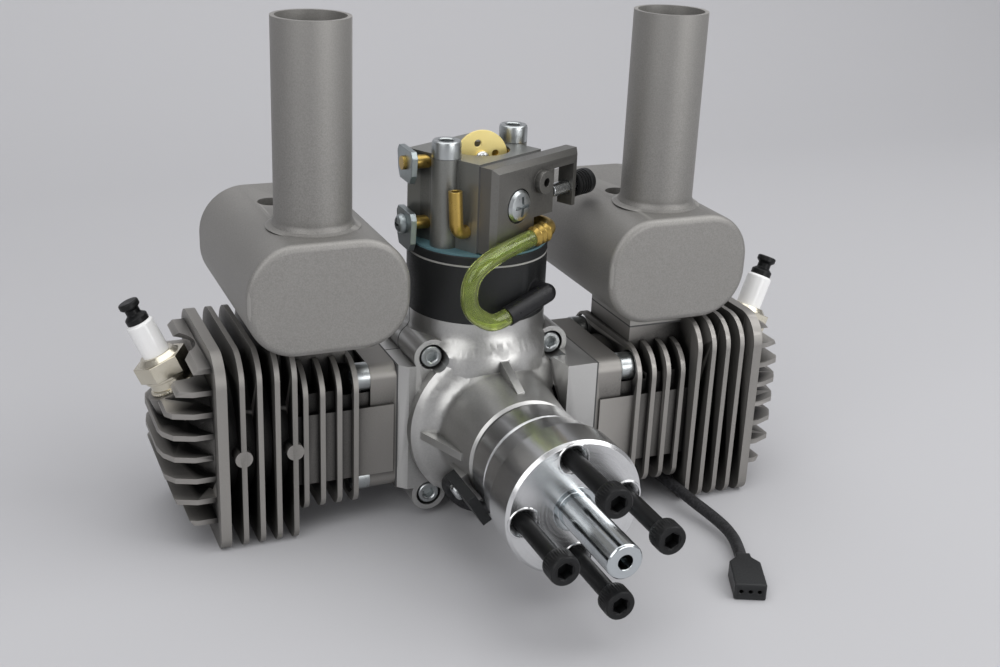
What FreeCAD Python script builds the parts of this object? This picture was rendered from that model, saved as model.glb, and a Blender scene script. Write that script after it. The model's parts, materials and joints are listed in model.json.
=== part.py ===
import FreeCAD
import Part
import math
import os
import Sketcher
from FreeCAD import Placement, Rotation, Vector

# Flat twin-cylinder two-stroke aircraft engine.
# Frame: origin at the centre of the propeller hub's front face, on the crank axis.
# X points to the right-hand cylinder, Y to the rear along the crank axis, Z up.

doc = FreeCAD.newDocument("flat_twin_engine")
dims = doc.addObject("Spreadsheet::Sheet", "dims")
nodes = {}
LEFT = -1
RIGHT = 1
SIDES = {"left": LEFT, "right": RIGHT}
AXES = {
    "X": Vector(1, 0, 0), "-X": Vector(-1, 0, 0),
    "Y": Vector(0, 1, 0), "-Y": Vector(0, -1, 0),
    "Z": Vector(0, 0, 1), "-Z": Vector(0, 0, -1),
}


# Sizes: a number together with the sheet expression that gives it
class Size:
    def __init__(self, value, text):
        self.value = float(value)
        self.text = text

    def __add__(self, other):
        return combine(self, other, "+")

    def __radd__(self, other):
        return combine(other, self, "+")

    def __sub__(self, other):
        return combine(self, other, "-")

    def __rsub__(self, other):
        return combine(other, self, "-")

    def __mul__(self, other):
        return combine(self, other, "*")

    def __rmul__(self, other):
        return combine(other, self, "*")

    def __truediv__(self, other):
        return combine(self, other, "/")

    def __neg__(self):
        return Size(-self.value, "(-%s)" % self.text)


def as_size(item):
    if isinstance(item, Size):
        return item
    return Size(item, "(%.7g)" % item)


def combine(left, right, sign):
    first = as_size(left)
    second = as_size(right)
    results = {
        "+": first.value + second.value,
        "-": first.value - second.value,
        "*": first.value * second.value,
        "/": first.value / (second.value or 1.0),
    }
    return Size(results[sign], "(%s %s %s)" % (first.text, sign, second.text))


def cosine(degrees):
    angle = as_size(degrees)
    return Size(math.cos(math.radians(angle.value)), "cos(%s * 1deg)" % angle.text)


def sine(degrees):
    angle = as_size(degrees)
    return Size(math.sin(math.radians(angle.value)), "sin(%s * 1deg)" % angle.text)


cells = []


def size(name, value):
    cells.append(name)
    cell = "A%d" % len(cells)
    dims.set(cell, str(value))
    dims.setAlias(cell, name)
    return Size(value, "dims.%s" % name)


# Driving dimensions in millimetres, angles in degrees

# Engine layout
cylinder_bore = size("cylinder_bore", 32)
crank_stroke = size("crank_stroke", 25)
rod_length = size("rod_length", 49)
pin_to_crown = size("pin_to_crown", 16)
pin_spacing = size("pin_spacing", 16)
parting_y = size("parting_y", 74.5)
seat_x = size("seat_x", 28.5)
gasket_gap = size("gasket_thickness", 0.5)
piston_height = size("piston_height", 22)
ring_height = size("ring_height", 1)
ring_drop = size("ring_drop", 3.2)
running_gap = size("running_gap", 0.05)
side_gap = size("side_gap", 0.3)

# Propeller shaft, hub and prop bolts
stub_radius = size("stub_radius", 5)
stub_length = size("stub_length", 28.7)
stub_thread = size("stub_thread_radius", 2.1)
stub_thread_depth = size("stub_thread_depth", 16)
hub_radius = size("hub_radius", 20)
hub_disc_depth = size("hub_disc_depth", 12)
hub_length = size("hub_length", 31)
hub_rear_radius = size("hub_rear_radius", 17.3)
hub_boss_length = size("hub_boss_length", 1.4)
hub_groove_depth = size("hub_groove_depth", 0.8)
hub_clock = size("hub_clock", 5.8)
hub_seat_radius = size("hub_seat_radius", 6.5)
prop_bolt_circle = size("prop_bolt_circle", 15)
prop_bolt_radius = size("prop_bolt_radius", 2.5)
hub_mouth = size("hub_mouth", 1.8)
prop_bolt_standoff = size("prop_bolt_standoff", 20.6)
prop_bolt_length = size("prop_bolt_length", 35)
magnet_radius = size("magnet_radius", 2)
magnet_length = size("magnet_length", 4)

# Crank and connecting rods
shaft_radius = size("shaft_radius", 7.5)
web_radius = size("web_radius", 21)
web_thickness = size("web_thickness", 5.5)
cheek_half = size("cheek_half", 12)
window_radius = size("window_radius", 4.5)
window_offset = size("window_offset", 13)
rod_width = size("rod_width", 9)
crankpin_radius = size("crankpin_radius", 4.5)
big_end_radius = size("big_end_radius", 7.5)
small_end_radius = size("small_end_radius", 6.2)
needle_thickness = size("needle_thickness", 1.5)
wrist_pin_radius = size("wrist_pin_radius", 4)
wrist_pin_length = size("wrist_pin_length", 27)

# Ball bearings and shaft seal
bearing_radius = size("bearing_radius", 14)
bearing_width = size("bearing_width", 7)
bearing_race = size("bearing_race", 2.2)
seal_radius = size("seal_radius", 11.5)
seal_width = size("seal_width", 4)

# Crankcase casting
chamber_gap = size("chamber_gap", 1)
chamber_wall = size("chamber_wall", 3.5)
case_front_y = size("case_front_y", 60)
case_rear_y = size("case_rear_y", 104)
nose_front_y = size("nose_front_y", 33)
nose_radius = size("nose_radius", 17)
nose_root_radius = size("nose_root_radius", 18.8)
nose_root_y = size("nose_root_y", 50)
nose_rib = size("nose_rib_thickness", 2.4)
nose_rib_count = 4
face_ring_radius = size("face_ring_radius", 26.3)
seat_half = size("seat_half", 20)
spigot_radius = size("spigot_radius", 17.4)
spigot_depth = size("spigot_depth", 2.5)
case_screw_x = size("case_screw_x", 19.1)
case_screw_z = size("case_screw_z", 22.4)
case_ear_radius = size("case_ear_radius", 5.4)
case_screw_radius = size("case_screw_radius", 2)
case_screw_length = size("case_screw_length", 20)
mount_span_x = size("mount_span_x", 30)
mount_span_z = size("mount_span_z", 40)
mount_boss_radius = size("mount_boss_radius", 6)
mount_boss_length = size("mount_boss_length", 26)
mount_face_y = size("mount_face_y", 110)
mount_hole_radius = size("mount_hole_radius", 2.5)
mount_hole_depth = size("mount_hole_depth", 14)
neck_radius = size("neck_radius", 21)
neck_top_z = size("neck_top_z", 33)
neck_bore = size("neck_bore", 10.6)

# Cylinders
flange_thickness = size("flange_thickness", 8)
cylinder_screw_offset = size("cylinder_screw_offset", 16)
cylinder_screw_radius = size("cylinder_screw_radius", 2.5)
cylinder_screw_length = size("cylinder_screw_length", 16)
barrel_radius = size("barrel_radius", 19)
low_fin_half = size("low_fin_half", 22.5)
low_fin_thickness = size("low_fin_thickness", 1.5)
low_fin_pitch = size("low_fin_pitch", 5)
low_fin_count = 4
fin_half_y = size("fin_half_y", 25)
fin_half_z = size("fin_half_z", 30)
fin_thickness = size("fin_thickness", 1.5)
fin_pitch = size("fin_pitch", 4.95)
fin_first_x = size("fin_first_x", 60.8)
fin_top_round = size("fin_top_round", 9)
fin_foot_round = size("fin_foot_round", 4.5)
flange_round = size("flange_round", 4)
passage_half_y = size("passage_half_y", 20.8)
passage_low_z = size("passage_low_z", 14)
passage_top_z = size("passage_top_z", 8)
duct_half_y = size("duct_half_y", 19)
duct_top_z = size("duct_top_z", 14)
ejector_pad_radius = size("ejector_pad_radius", 2.5)
ejector_pad_drop = size("ejector_pad_drop", 1)
fin_count = 4
head_plate_thickness = size("head_plate_thickness", 3)
head_core_radius = size("head_core_radius", 20.5)
dome_reach = size("dome_reach", 14.5)
dome_half_y = size("dome_half_y", 20)
dome_fin_thickness = size("dome_fin_thickness", 1.6)
dome_fin_pitch = size("dome_fin_pitch", 6.7)
dome_fin_rise = size("dome_fin_rise", 1.75)
dome_fin_count = 8
deck_clearance = size("deck_clearance", 0.8)
chamber_height = size("combustion_height", 7)
exhaust_face_z = size("exhaust_face_z", 27)
exhaust_half_y = size("exhaust_half_y", 13)
exhaust_half_x = size("exhaust_half_x", 10)
exhaust_port_x = size("exhaust_port_x", 7)
exhaust_port_y = size("exhaust_port_y", 13)
exhaust_screw_x = size("exhaust_screw_x", 5.6)
exhaust_screw_y = size("exhaust_screw_y", 9)
exhaust_screw_radius = size("exhaust_screw_radius", 2)
exhaust_pocket_gap = size("exhaust_pocket_gap", 0.4)

# Spark plugs
plug_lean_out = size("plug_lean_out", 24)
plug_lean_back = size("plug_lean_back", 8)
plug_seat_x = size("plug_seat_x", 89.9)
plug_seat_z = size("plug_seat_z", 13.7)
plug_thread_radius = size("plug_thread_radius", 5)
plug_reach = size("plug_reach", 12.5)
plug_hex_flats = size("plug_hex_flats", 14)
plug_hex_height = size("plug_hex_height", 5)
plug_collar_height = size("plug_collar_height", 4.5)
insulator_radius = size("insulator_radius", 4)
insulator_length = size("insulator_length", 10.5)
terminal_radius = size("terminal_radius", 3.3)
terminal_length = size("terminal_length", 6.5)
plug_pocket_radius = size("plug_pocket_radius", 11)

# Mufflers
muffler_x = size("muffler_x", 52.5)
muffler_width = size("muffler_width", 46)
muffler_height = size("muffler_height", 32)
muffler_length = size("muffler_length", 64)
muffler_bottom_z = size("muffler_bottom_z", 31.6)
muffler_front_left = size("muffler_front_left", 49)
muffler_front_right = size("muffler_front_right", 44)
muffler_side_round = size("muffler_side_round", 14)
muffler_end_round = size("muffler_end_round", 2)
muffler_wall = size("muffler_wall", 2)
stack_setback = size("stack_setback", 17.8)
stack_radius = size("stack_radius", 10.8)
stack_wall = size("stack_wall", 1.2)
stack_top_z = size("stack_top_z", 120.6)
screw_access_radius = size("screw_access_radius", 4)

# Intake: reed valve, insulating spacer and gaskets
reed_flange_radius = size("reed_flange_radius", 11.8)
reed_flange_height = size("reed_flange_height", 2.6)
reed_depth = size("reed_depth", 8.5)
spacer_radius = size("spacer_radius", 21)
spacer_height = size("spacer_height", 17.3)
spacer_bore = size("spacer_bore", 9)
spacer_plate_height = size("spacer_plate_height", 2.6)
carb_gasket_height = size("carb_gasket_height", 0.6)

# Carburettor
carb_yaw = size("carb_yaw", 27.7)
carb_left = size("carb_left", 15)
carb_right = size("carb_right", 13)
carb_front = size("carb_front", 12.2)
carb_back = size("carb_back", 14.8)
carb_height = size("carb_height", 26)
carb_bolt_offset = size("carb_bolt_offset", 15)
carb_bolt_radius = size("carb_bolt_radius", 2.5)
carb_bolt_grip = size("carb_bolt_grip", 10)
carb_column_radius = size("carb_column_radius", 4.2)
choke_drop = size("choke_drop", 2.7)
throttle_rise = size("throttle_rise", 5.2)
choke_disc_radius = size("choke_disc_radius", 8.3)
throttle_plate_radius = size("throttle_plate_radius", 7.9)
carb_shaft_radius = size("carb_shaft_radius", 2)
plate_thickness = size("plate_thickness", 0.8)
bore_gap = size("bore_gap", 0.4)
venturi_radius = size("venturi_radius", 6.8)
lever_gap = size("lever_gap", 0.5)
lever_thickness = size("lever_thickness", 1.8)
cover_thickness = size("cover_thickness", 5.5)
pump_gasket = size("pump_gasket_thickness", 0.6)
cover_reach = size("cover_reach", 24.5)
cover_step_x = size("cover_step_x", 3.3)
cover_step_z = size("cover_step_z", 8.5)
idle_axis_drop = size("idle_axis_drop", 12.2)
idle_knob_radius = size("idle_knob_radius", 3.9)
idle_knob_length = size("idle_knob_length", 3)
idle_spring_length = size("idle_spring_length", 5.5)
needle_spacing = size("needle_spacing", 8)
needle_along = size("needle_along", 9)
needle_rise = size("needle_rise", 12)
needle_radius = size("needle_radius", 1.5)
cover_screw_across = size("cover_screw_across", -4)
cover_screw_rise = size("cover_screw_rise", 13.3)
cover_boss_across = size("cover_boss_across", 6)
cover_boss_rise = size("cover_boss_rise", 18.8)
choke_lever_length = size("choke_lever_length", 5.3)
throttle_lever_length = size("throttle_lever_length", 7.2)
lever_width = size("lever_width", 13)
butterfly_screw_radius = size("butterfly_screw_radius", 1.2)

# Fuel, pulse line and ignition pick-up
nipple_radius = size("nipple_radius", 2)
nipple_bore = size("nipple_bore", 1.1)
tube_radius = size("tube_radius", 2.5)
tube_bore = size("tube_bore", 1.5)
fuel_along = size("fuel_along", -7.9)
fuel_rise = size("fuel_rise", 5.8)
fuel_riser = size("fuel_riser", 12.5)
pulse_across = size("pulse_across", 10.5)
pulse_rise = size("pulse_rise", 5)
pulse_out = size("pulse_out", 21.2)
elbow_arm = size("elbow_arm", 11.9)
elbow_drop = size("elbow_drop", 1.1)
pulse_port_rise = size("pulse_port_rise", 8.2)
pulse_stem_length = size("pulse_stem_length", 4)
pulse_arm_length = size("pulse_arm_length", 15.5)
sensor_angle = size("sensor_angle", 212)
sensor_width = size("sensor_width", 10)
sensor_thickness = size("sensor_thickness", 3)
sensor_length = size("sensor_length", 17)
cable_radius = size("cable_radius", 1.8)
sensor_plug_length = size("sensor_plug_length", 17.5)
sensor_plug_width = size("sensor_plug_width", 9)
sensor_plug_height = size("sensor_plug_height", 5)


# Placing and building helpers
def bind(item, field, amount):
    item.setExpression(field, as_size(amount).text)


def place(item, at, turn):
    item.Placement = Placement(Vector(*[as_size(part).value for part in at]), turn)
    for letter, part in zip("xyz", at):
        if isinstance(part, Size):
            bind(item, ".Placement.Base." + letter, part)


def direction(axis):
    if isinstance(axis, str):
        return AXES[axis]
    return axis


def origin_plane(body, role):
    for feature in body.Origin.OriginFeatures:
        if feature.Role == role:
            return feature


def outline(sketch, corners):
    points = [(as_size(across), as_size(along)) for across, along in corners]
    count = len(points)
    first = sketch.GeometryCount
    for index in range(count):
        here = points[index]
        there = points[(index + 1) % count]
        start = Vector(here[0].value, here[1].value, 0)
        end = Vector(there[0].value, there[1].value, 0)
        sketch.addGeometry(Part.LineSegment(start, end), False)
    for index in range(count):
        nearby = first + (index + 1) % count
        sketch.addConstraint(Sketcher.Constraint("Coincident", first + index, 2, nearby, 1))
    for index, point in enumerate(points):
        for kind, amount in zip(("DistanceX", "DistanceY"), point):
            rule = Sketcher.Constraint(kind, -1, 1, first + index, 1, amount.value)
            place_in_list = sketch.addConstraint(rule)
            bind(sketch, "Constraints[%d]" % place_in_list, amount)


def new_sketch(body, role):
    sketch = body.newObject("Sketcher::SketchObject", "profile")
    sketch.AttachmentSupport = [(origin_plane(body, role), "")]
    sketch.MapMode = "FlatFace"
    return sketch


def turned(name, corners, at=(0, 0, 0), axis="Y"):
    # A profile of (radius, station) corners turned about an axis
    body = doc.addObject("PartDesign::Body", name)
    sketch = new_sketch(body, "XY_Plane")
    outline(sketch, corners)
    turn = body.newObject("PartDesign::Revolution", "turn")
    turn.Profile = sketch
    turn.ReferenceAxis = (sketch, ["V_Axis"])
    turn.Angle = 360
    place(body, at, Rotation(AXES["Y"], direction(axis)))
    return body


def plate(name, corners, height, at=(0, 0, 0), turn=Rotation()):
    # A flat outline in the XY plane raised along Z
    body = doc.addObject("PartDesign::Body", name)
    sketch = new_sketch(body, "XY_Plane")
    outline(sketch, corners)
    pad = body.newObject("PartDesign::Pad", "raise")
    pad.Profile = sketch
    bind(pad, "Length", height)
    place(body, at, turn)
    return body


def rod(name, radius, length, at=(0, 0, 0), axis="Z"):
    item = doc.addObject("Part::Cylinder", name)
    bind(item, "Radius", radius)
    bind(item, "Height", length)
    place(item, at, Rotation(AXES["Z"], direction(axis)))
    return item


def block(name, low, high):
    item = doc.addObject("Part::Box", name)
    for field, start, end in zip(("Length", "Width", "Height"), low, high):
        bind(item, field, as_size(end) - start)
    place(item, low, Rotation())
    return item


def join(name, *items):
    item = doc.addObject("Part::MultiFuse", name)
    item.Shapes = list(items)
    return item


def cut(name, base, *tools):
    item = doc.addObject("Part::Cut", name)
    item.Base = base
    item.Tool = tools[0] if len(tools) == 1 else join(name + "_tools", *tools)
    return item


def overlap(name, *items):
    item = doc.addObject("Part::MultiCommon", name)
    item.Shapes = list(items)
    return item


def bundle(name, *items):
    item = doc.addObject("Part::Compound", name)
    item.Links = list(items)
    return item


def moved(name, item, at=(0, 0, 0), turn=Rotation()):
    holder = bundle(name, item)
    place(holder, at, turn)
    return holder


def rounded(name, base, radius, wanted):
    # Rounds every edge of the base that the test accepts
    doc.recompute()
    chosen = []
    for index, edge in enumerate(base.Shape.Edges):
        if wanted(edge):
            chosen.append((index + 1, radius.value, radius.value))
    item = doc.addObject("Part::Fillet", name)
    item.Base = base
    item.Edges = chosen
    return item


def straight_along(axis):
    wanted = AXES[axis]

    def test(edge):
        if edge.Curve.TypeId != "Part::GeomLine":
            return False
        return abs(edge.Curve.Direction.dot(wanted)) > 0.999
    return test


def in_plane(axis, station):
    index = "XYZ".index(axis)

    def test(edge):
        box = edge.BoundBox
        low = (box.XMin, box.YMin, box.ZMin)[index]
        high = (box.XMax, box.YMax, box.ZMax)[index]
        return abs(low - station) < 0.01 and abs(high - station) < 0.01
    return test


def node(name, item):
    item.Label = name
    nodes[name] = item
    return item


def cap_screw(name, radius, length, at, axis):
    # Socket cap screw: seat of the head at the given point, shank along the axis
    head = radius * 1.7
    socket = radius * 0.85
    profile = [
        (0, length), (radius, length), (radius, 0), (head, 0), (head, -radius * 1.8),
        (head - 0.4, -radius * 2), (socket, -radius * 2), (socket, -radius), (0, -radius),
    ]
    return turned(name, profile, at, axis)


# Stations worked out from the driving dimensions
crank_radius = crank_stroke / 2
hub_shoulder_y = hub_length + hub_boss_length
chamber_radius = web_radius + chamber_gap
lever_reach = spacer_radius + lever_gap
crown_x = crank_radius + rod_length + pin_to_crown
wrist_x = crank_radius + rod_length
flange_x = seat_x + gasket_gap
deck_x = crown_x + deck_clearance
head_plate_x = fin_first_x + fin_pitch * fin_count - fin_thickness / 2
head_top_x = head_plate_x + head_plate_thickness
spacer_z = neck_top_z
spacer_gasket_z = spacer_z + spacer_height
spacer_plate_z = spacer_gasket_z + gasket_gap
carb_gasket_z = spacer_plate_z + spacer_plate_height
carb_z = carb_gasket_z + carb_gasket_height
carb_top_z = carb_z + carb_height
choke_z = carb_top_z - choke_drop
throttle_z = carb_z + throttle_rise
fuel_z = carb_z + fuel_rise
pulse_z = carb_z + pulse_rise
pulse_port_z = spacer_z + pulse_port_rise
needle_z = carb_z + needle_rise
cover_screw_z = carb_z + cover_screw_rise
cover_boss_z = carb_z + cover_boss_rise
idle_along = -carb_front - pump_gasket - cover_thickness / 2
idle_z = carb_top_z - idle_axis_drop
cylinder_y = {LEFT: parting_y + pin_spacing / 2, RIGHT: parting_y - pin_spacing / 2}
front_web_y = cylinder_y[RIGHT] - rod_width / 2 - side_gap - web_thickness
centre_web_y = cylinder_y[RIGHT] + rod_width / 2 + side_gap
centre_web_end = cylinder_y[LEFT] - rod_width / 2 - side_gap
rear_web_y = cylinder_y[LEFT] + rod_width / 2 + side_gap
chamber_front_y = front_web_y - side_gap
chamber_rear_y = rear_web_y + web_thickness + side_gap
inner_bearing_y = chamber_front_y - bearing_width
front_bearing_y = nose_front_y + seal_width + 1
rear_bearing_y = chamber_rear_y
case_radius = chamber_radius + chamber_wall
case_bolt_seat_y = case_front_y + case_screw_radius * 2
fin_stations = [fin_first_x + fin_pitch * index for index in range(fin_count)]
carb_turn = Rotation(AXES["Z"], carb_yaw.value)


def carb_point(across, along, height):
    # A point given in the carburettor's own yawed frame
    across = as_size(across)
    along = as_size(along)
    x = across * cosine(carb_yaw) - along * sine(carb_yaw)
    y = parting_y + across * sine(carb_yaw) + along * cosine(carb_yaw)
    return (x, y, as_size(height))


def carb_direction(across, along):
    return carb_turn.multVec(Vector(across, along, 0))


# Crankcase: one casting outline, parted across the crank axis
def case_screw_places():
    return [(sx * case_screw_x, sz * case_screw_z) for sx in (-1, 1) for sz in (-1, 1)]


def mount_places():
    return [(sx * mount_span_x / 2, sz * mount_span_z / 2) for sx in (-1, 1) for sz in (-1, 1)]


def cylinder_screw_places(side):
    y = cylinder_y[side]
    offset = cylinder_screw_offset
    return [(y + sy * offset, sz * offset) for sy in (-1, 1) for sz in (-1, 1)]


def crankcase_outside():
    left_y = cylinder_y[LEFT]
    right_y = cylinder_y[RIGHT]
    plan = [
        (-seat_x, left_y - seat_half), (-seat_x + 2.5, case_front_y), (seat_x - 12, case_front_y),
        (seat_x - 9.5, right_y - seat_half), (seat_x, right_y - seat_half),
        (seat_x, right_y + seat_half + 1), (seat_x - 13, case_rear_y),
        (-seat_x + 2.5, case_rear_y), (-seat_x, left_y + seat_half),
    ]
    seats = plate("case_seats", plan, seat_half * 2, (0, 0, -seat_half))
    barrel = rod("case_barrel", case_radius, case_rear_y - case_front_y, (0, case_front_y, 0), "Y")
    face = case_front_y
    nose_profile = [
        (0, nose_front_y), (nose_radius - 0.8, nose_front_y), (nose_radius, nose_front_y + 0.8),
        (nose_root_radius, nose_root_y), (nose_root_radius + 1.2, nose_root_y + 2.6),
        (nose_root_radius + 3.6, nose_root_y + 4.4), (case_radius - 1, nose_root_y + 5.2),
        (face_ring_radius, face - 3), (face_ring_radius, face - 1.2), (face_ring_radius, face + 4),
        (0, face + 4),
    ]
    nose = turned("case_nose", nose_profile)
    parts = [seats, barrel, nose]
    for index, (x, z) in enumerate(case_screw_places()):
        length = case_screw_length + 6
        parts.append(rod("case_ear_%d" % index, case_ear_radius, length, (x, case_front_y, z), "Y"))
    for index, (x, z) in enumerate(mount_places()):
        parts.append(rod("case_mount_%d" % index, mount_boss_radius, mount_boss_length,
                         (x, mount_face_y, z), "-Y"))
    neck_profile = [
        (0, 0), (neck_radius + 3, 0), (neck_radius + 3, 23), (neck_radius, 28.5),
        (neck_radius, neck_top_z), (0, neck_top_z),
    ]
    parts.append(turned("case_neck", neck_profile, (0, parting_y, 0), "Z"))
    rib_profile = [
        (nose_radius - 2, nose_front_y + 5), (nose_radius + 0.8, nose_front_y + 5),
        (case_radius - 1.5, nose_root_y + 5), (nose_radius - 2, nose_root_y + 5),
    ]
    for index in range(nose_rib_count):
        turn = Rotation(AXES["Y"], 360.0 * index / nose_rib_count)
        web = plate("case_rib_%d" % index, rib_profile, nose_rib, (0, 0, -nose_rib / 2))
        parts.append(moved("case_rib_turned_%d" % index, web, turn=turn))
    pad_low = (nose_radius - 4, nose_front_y + 3, -sensor_width / 2)
    pad_high = (nose_radius + 1.5, nose_front_y + 12, sensor_width / 2)
    pad = block("sensor_pad", pad_low, pad_high)
    parts.append(moved("sensor_pad_turned", pad, turn=Rotation(AXES["Y"], -sensor_angle.value)))
    return join("case_outside", *parts)


def crank_tunnel():
    # Seal seat, bearing seats, crank chamber and rear wall relief in one turned profile
    shoulder = bearing_radius - bearing_race
    front = front_bearing_y
    inner = inner_bearing_y
    rear = rear_bearing_y
    profile = [
        (0, nose_front_y - 1), (seal_radius, nose_front_y - 1), (seal_radius, front - 0.5),
        (bearing_radius, front), (bearing_radius, front + bearing_width),
        (shoulder, front + bearing_width), (shoulder, inner), (bearing_radius, inner),
        (bearing_radius, chamber_front_y), (chamber_radius, chamber_front_y),
        (chamber_radius, chamber_rear_y), (bearing_radius, chamber_rear_y),
        (bearing_radius, rear + bearing_width), (shoulder, rear + bearing_width),
        (shoulder, rear + bearing_width + 1.5), (0, rear + bearing_width + 1.5),
    ]
    return turned("crank_tunnel", profile)


def crankcase_holes():
    tools = []
    for name, side in SIDES.items():
        start = (side * (seat_x + 1), cylinder_y[side], 0)
        axis = "X" if side == LEFT else "-X"
        reach = seat_x - chamber_radius + 13
        tools.append(rod("spigot_bore_" + name, spigot_radius + 0.1, reach, start, axis))
        for index, (y, z) in enumerate(cylinder_screw_places(side)):
            at = (side * (seat_x + 1), y, z)
            depth = cylinder_screw_length - flange_thickness + 2
            label = "seat_thread_%s_%d" % (name, index)
            tools.append(rod(label, cylinder_screw_radius, depth, at, axis))
    for index, (x, z) in enumerate(case_screw_places()):
        head = case_screw_radius * 1.7 + 0.5
        seat = case_bolt_seat_y
        tools.append(rod("case_recess_%d" % index, head, seat - case_front_y + 5,
                         (x, case_front_y - 5, z), "Y"))
        tools.append(rod("case_thread_%d" % index, case_screw_radius, case_screw_length + 1,
                         (x, seat, z), "Y"))
    for index, (x, z) in enumerate(mount_places()):
        at = (x, mount_face_y, z)
        tools.append(rod("mount_hole_%d" % index, mount_hole_radius, mount_hole_depth, at, "-Y"))
    for index, sign in enumerate((-1, 1)):
        at = carb_point(sign * carb_bolt_offset, 0, neck_top_z)
        tools.append(rod("neck_thread_%d" % index, carb_bolt_radius, carb_bolt_grip + 1, at, "-Z"))
    return tools


def crankcase():
    tunnelled = cut("case_tunnelled", crankcase_outside(), crank_tunnel())
    throat = rod("intake_throat", neck_bore, neck_top_z, (0, parting_y, 0))
    throated = cut("case_throated", tunnelled, throat)
    casting = cut("case_casting", throated, *crankcase_holes())
    reach = 60
    rear_start = parting_y + gasket_gap
    front_zone = block("front_zone", (-reach, nose_front_y - 1, -reach), (reach, parting_y, reach))
    rear_zone = block("rear_zone", (-reach, rear_start, -reach), (reach, mount_face_y + 1, reach))
    seam_zone = block("seam_zone", (-reach, parting_y, -reach), (reach, rear_start, reach))
    node("crankcase_front", overlap("crankcase_front", casting, front_zone))
    node("crankcase_rear", overlap("crankcase_rear", casting, rear_zone))
    node("case_gasket", overlap("case_gasket", casting, seam_zone))
    screws = []
    for index, (x, z) in enumerate(case_screw_places()):
        at = (x, case_bolt_seat_y, z)
        screws.append(cap_screw("case_screw_%d" % index, case_screw_radius, case_screw_length,
                                at, "Y"))
    node("case_screws", bundle("case_screws", *screws))


# Bearings and shaft seal
def bearings():
    outer = []
    inner = []
    split = (bearing_radius + shaft_radius) / 2
    for index, y in enumerate((front_bearing_y, inner_bearing_y, rear_bearing_y)):
        at = (0, y, 0)
        ring = [(split + 0.1, 0.3), (bearing_radius, 0), (bearing_radius, bearing_width),
                (split + 0.1, bearing_width - 0.3)]
        outer.append(turned("outer_ring_%d" % index, ring, at))
        race = [(shaft_radius, 0), (split, 0.3), (split, bearing_width - 0.3),
                (shaft_radius, bearing_width)]
        inner.append(turned("inner_ring_%d" % index, race, at))
    node("bearing_outer_rings", bundle("bearing_outer_rings", *outer))
    node("bearing_inner_rings", bundle("bearing_inner_rings", *inner))
    lip = shaft_radius + running_gap
    seal_profile = [(lip, 0.5), (seal_radius, 0), (seal_radius, seal_width), (lip + 1.5, seal_width),
                    (lip + 1.5, 1.6), (lip, 1.6)]
    node("crank_seal", turned("crank_seal", seal_profile, (0, nose_front_y, 0)))


# Crankshaft, hub and prop bolts
def crank_web(name, start, end, pin_side):
    # Counterweight opposite the pin, an eye round the pin and a cheek between them
    thickness = end - start
    disc = rod(name + "_disc", web_radius, thickness, (0, start, 0), "Y")
    low = (-web_radius, start, -web_radius)
    high = (1, end, web_radius)
    if pin_side == LEFT:
        low = (-1, start, -web_radius)
        high = (web_radius, end, web_radius)
    weight = overlap(name + "_weight", disc, block(name + "_half", low, high))
    eye_x = pin_side * crank_radius
    eye_radius = crankpin_radius + 3
    eye = rod(name + "_eye", eye_radius, thickness, (eye_x, start, 0), "Y")
    half = cheek_half
    corners = [(-1, -half), (crank_radius, -eye_radius), (crank_radius, eye_radius), (-1, half)]
    turn = Rotation(AXES["X"], -90)
    cheek = plate(name + "_cheek", corners, thickness, (0, start, 0), turn)
    if pin_side == LEFT:
        cheek = moved(name + "_cheek_left", cheek, (0, start * 2 + thickness, 0),
                      Rotation(AXES["Z"], 180))
    return join(name, weight, eye, cheek)


def crankshaft():
    front_end = front_web_y + web_thickness
    profile = [
        (0, front_end), (shaft_radius, front_end), (shaft_radius, hub_shoulder_y),
        (hub_seat_radius, hub_shoulder_y), (hub_seat_radius, 0), (stub_radius, 0),
        (stub_radius, -stub_length + 0.5), (stub_radius - 0.5, -stub_length),
        (stub_thread, -stub_length), (stub_thread, -stub_length + stub_thread_depth),
        (0, -stub_length + stub_thread_depth + 1.2),
    ]
    shaft = turned("front_shaft", profile)
    web = crank_web("front_web", front_web_y, front_end, RIGHT)
    node("crankshaft_front", join("crankshaft_front", shaft, web))
    middle = rod("centre_disc", web_radius, centre_web_end - centre_web_y, (0, centre_web_y, 0), "Y")
    windows = []
    for index, sign in enumerate((-1, 1)):
        at = (0, centre_web_y - 1, sign * window_offset)
        windows.append(rod("centre_window_%d" % index, window_radius,
                           centre_web_end - centre_web_y + 2, at, "Y"))
    node("crank_centre_web", cut("crank_centre_web", middle, *windows))
    rear_end = rear_web_y + web_thickness
    journal_end = rear_bearing_y + bearing_width
    journal = rod("rear_journal", shaft_radius, journal_end - rear_web_y - 1,
                  (0, rear_web_y + 1, 0), "Y")
    rear_web = crank_web("rear_web", rear_web_y, rear_end, LEFT)
    node("crankshaft_rear", join("crankshaft_rear", journal, rear_web))


def prop_bolt_places():
    places = []
    for index in range(4):
        angle = hub_clock + 90 * index
        places.append((prop_bolt_circle * cosine(angle), prop_bolt_circle * sine(angle)))
    return places


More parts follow.
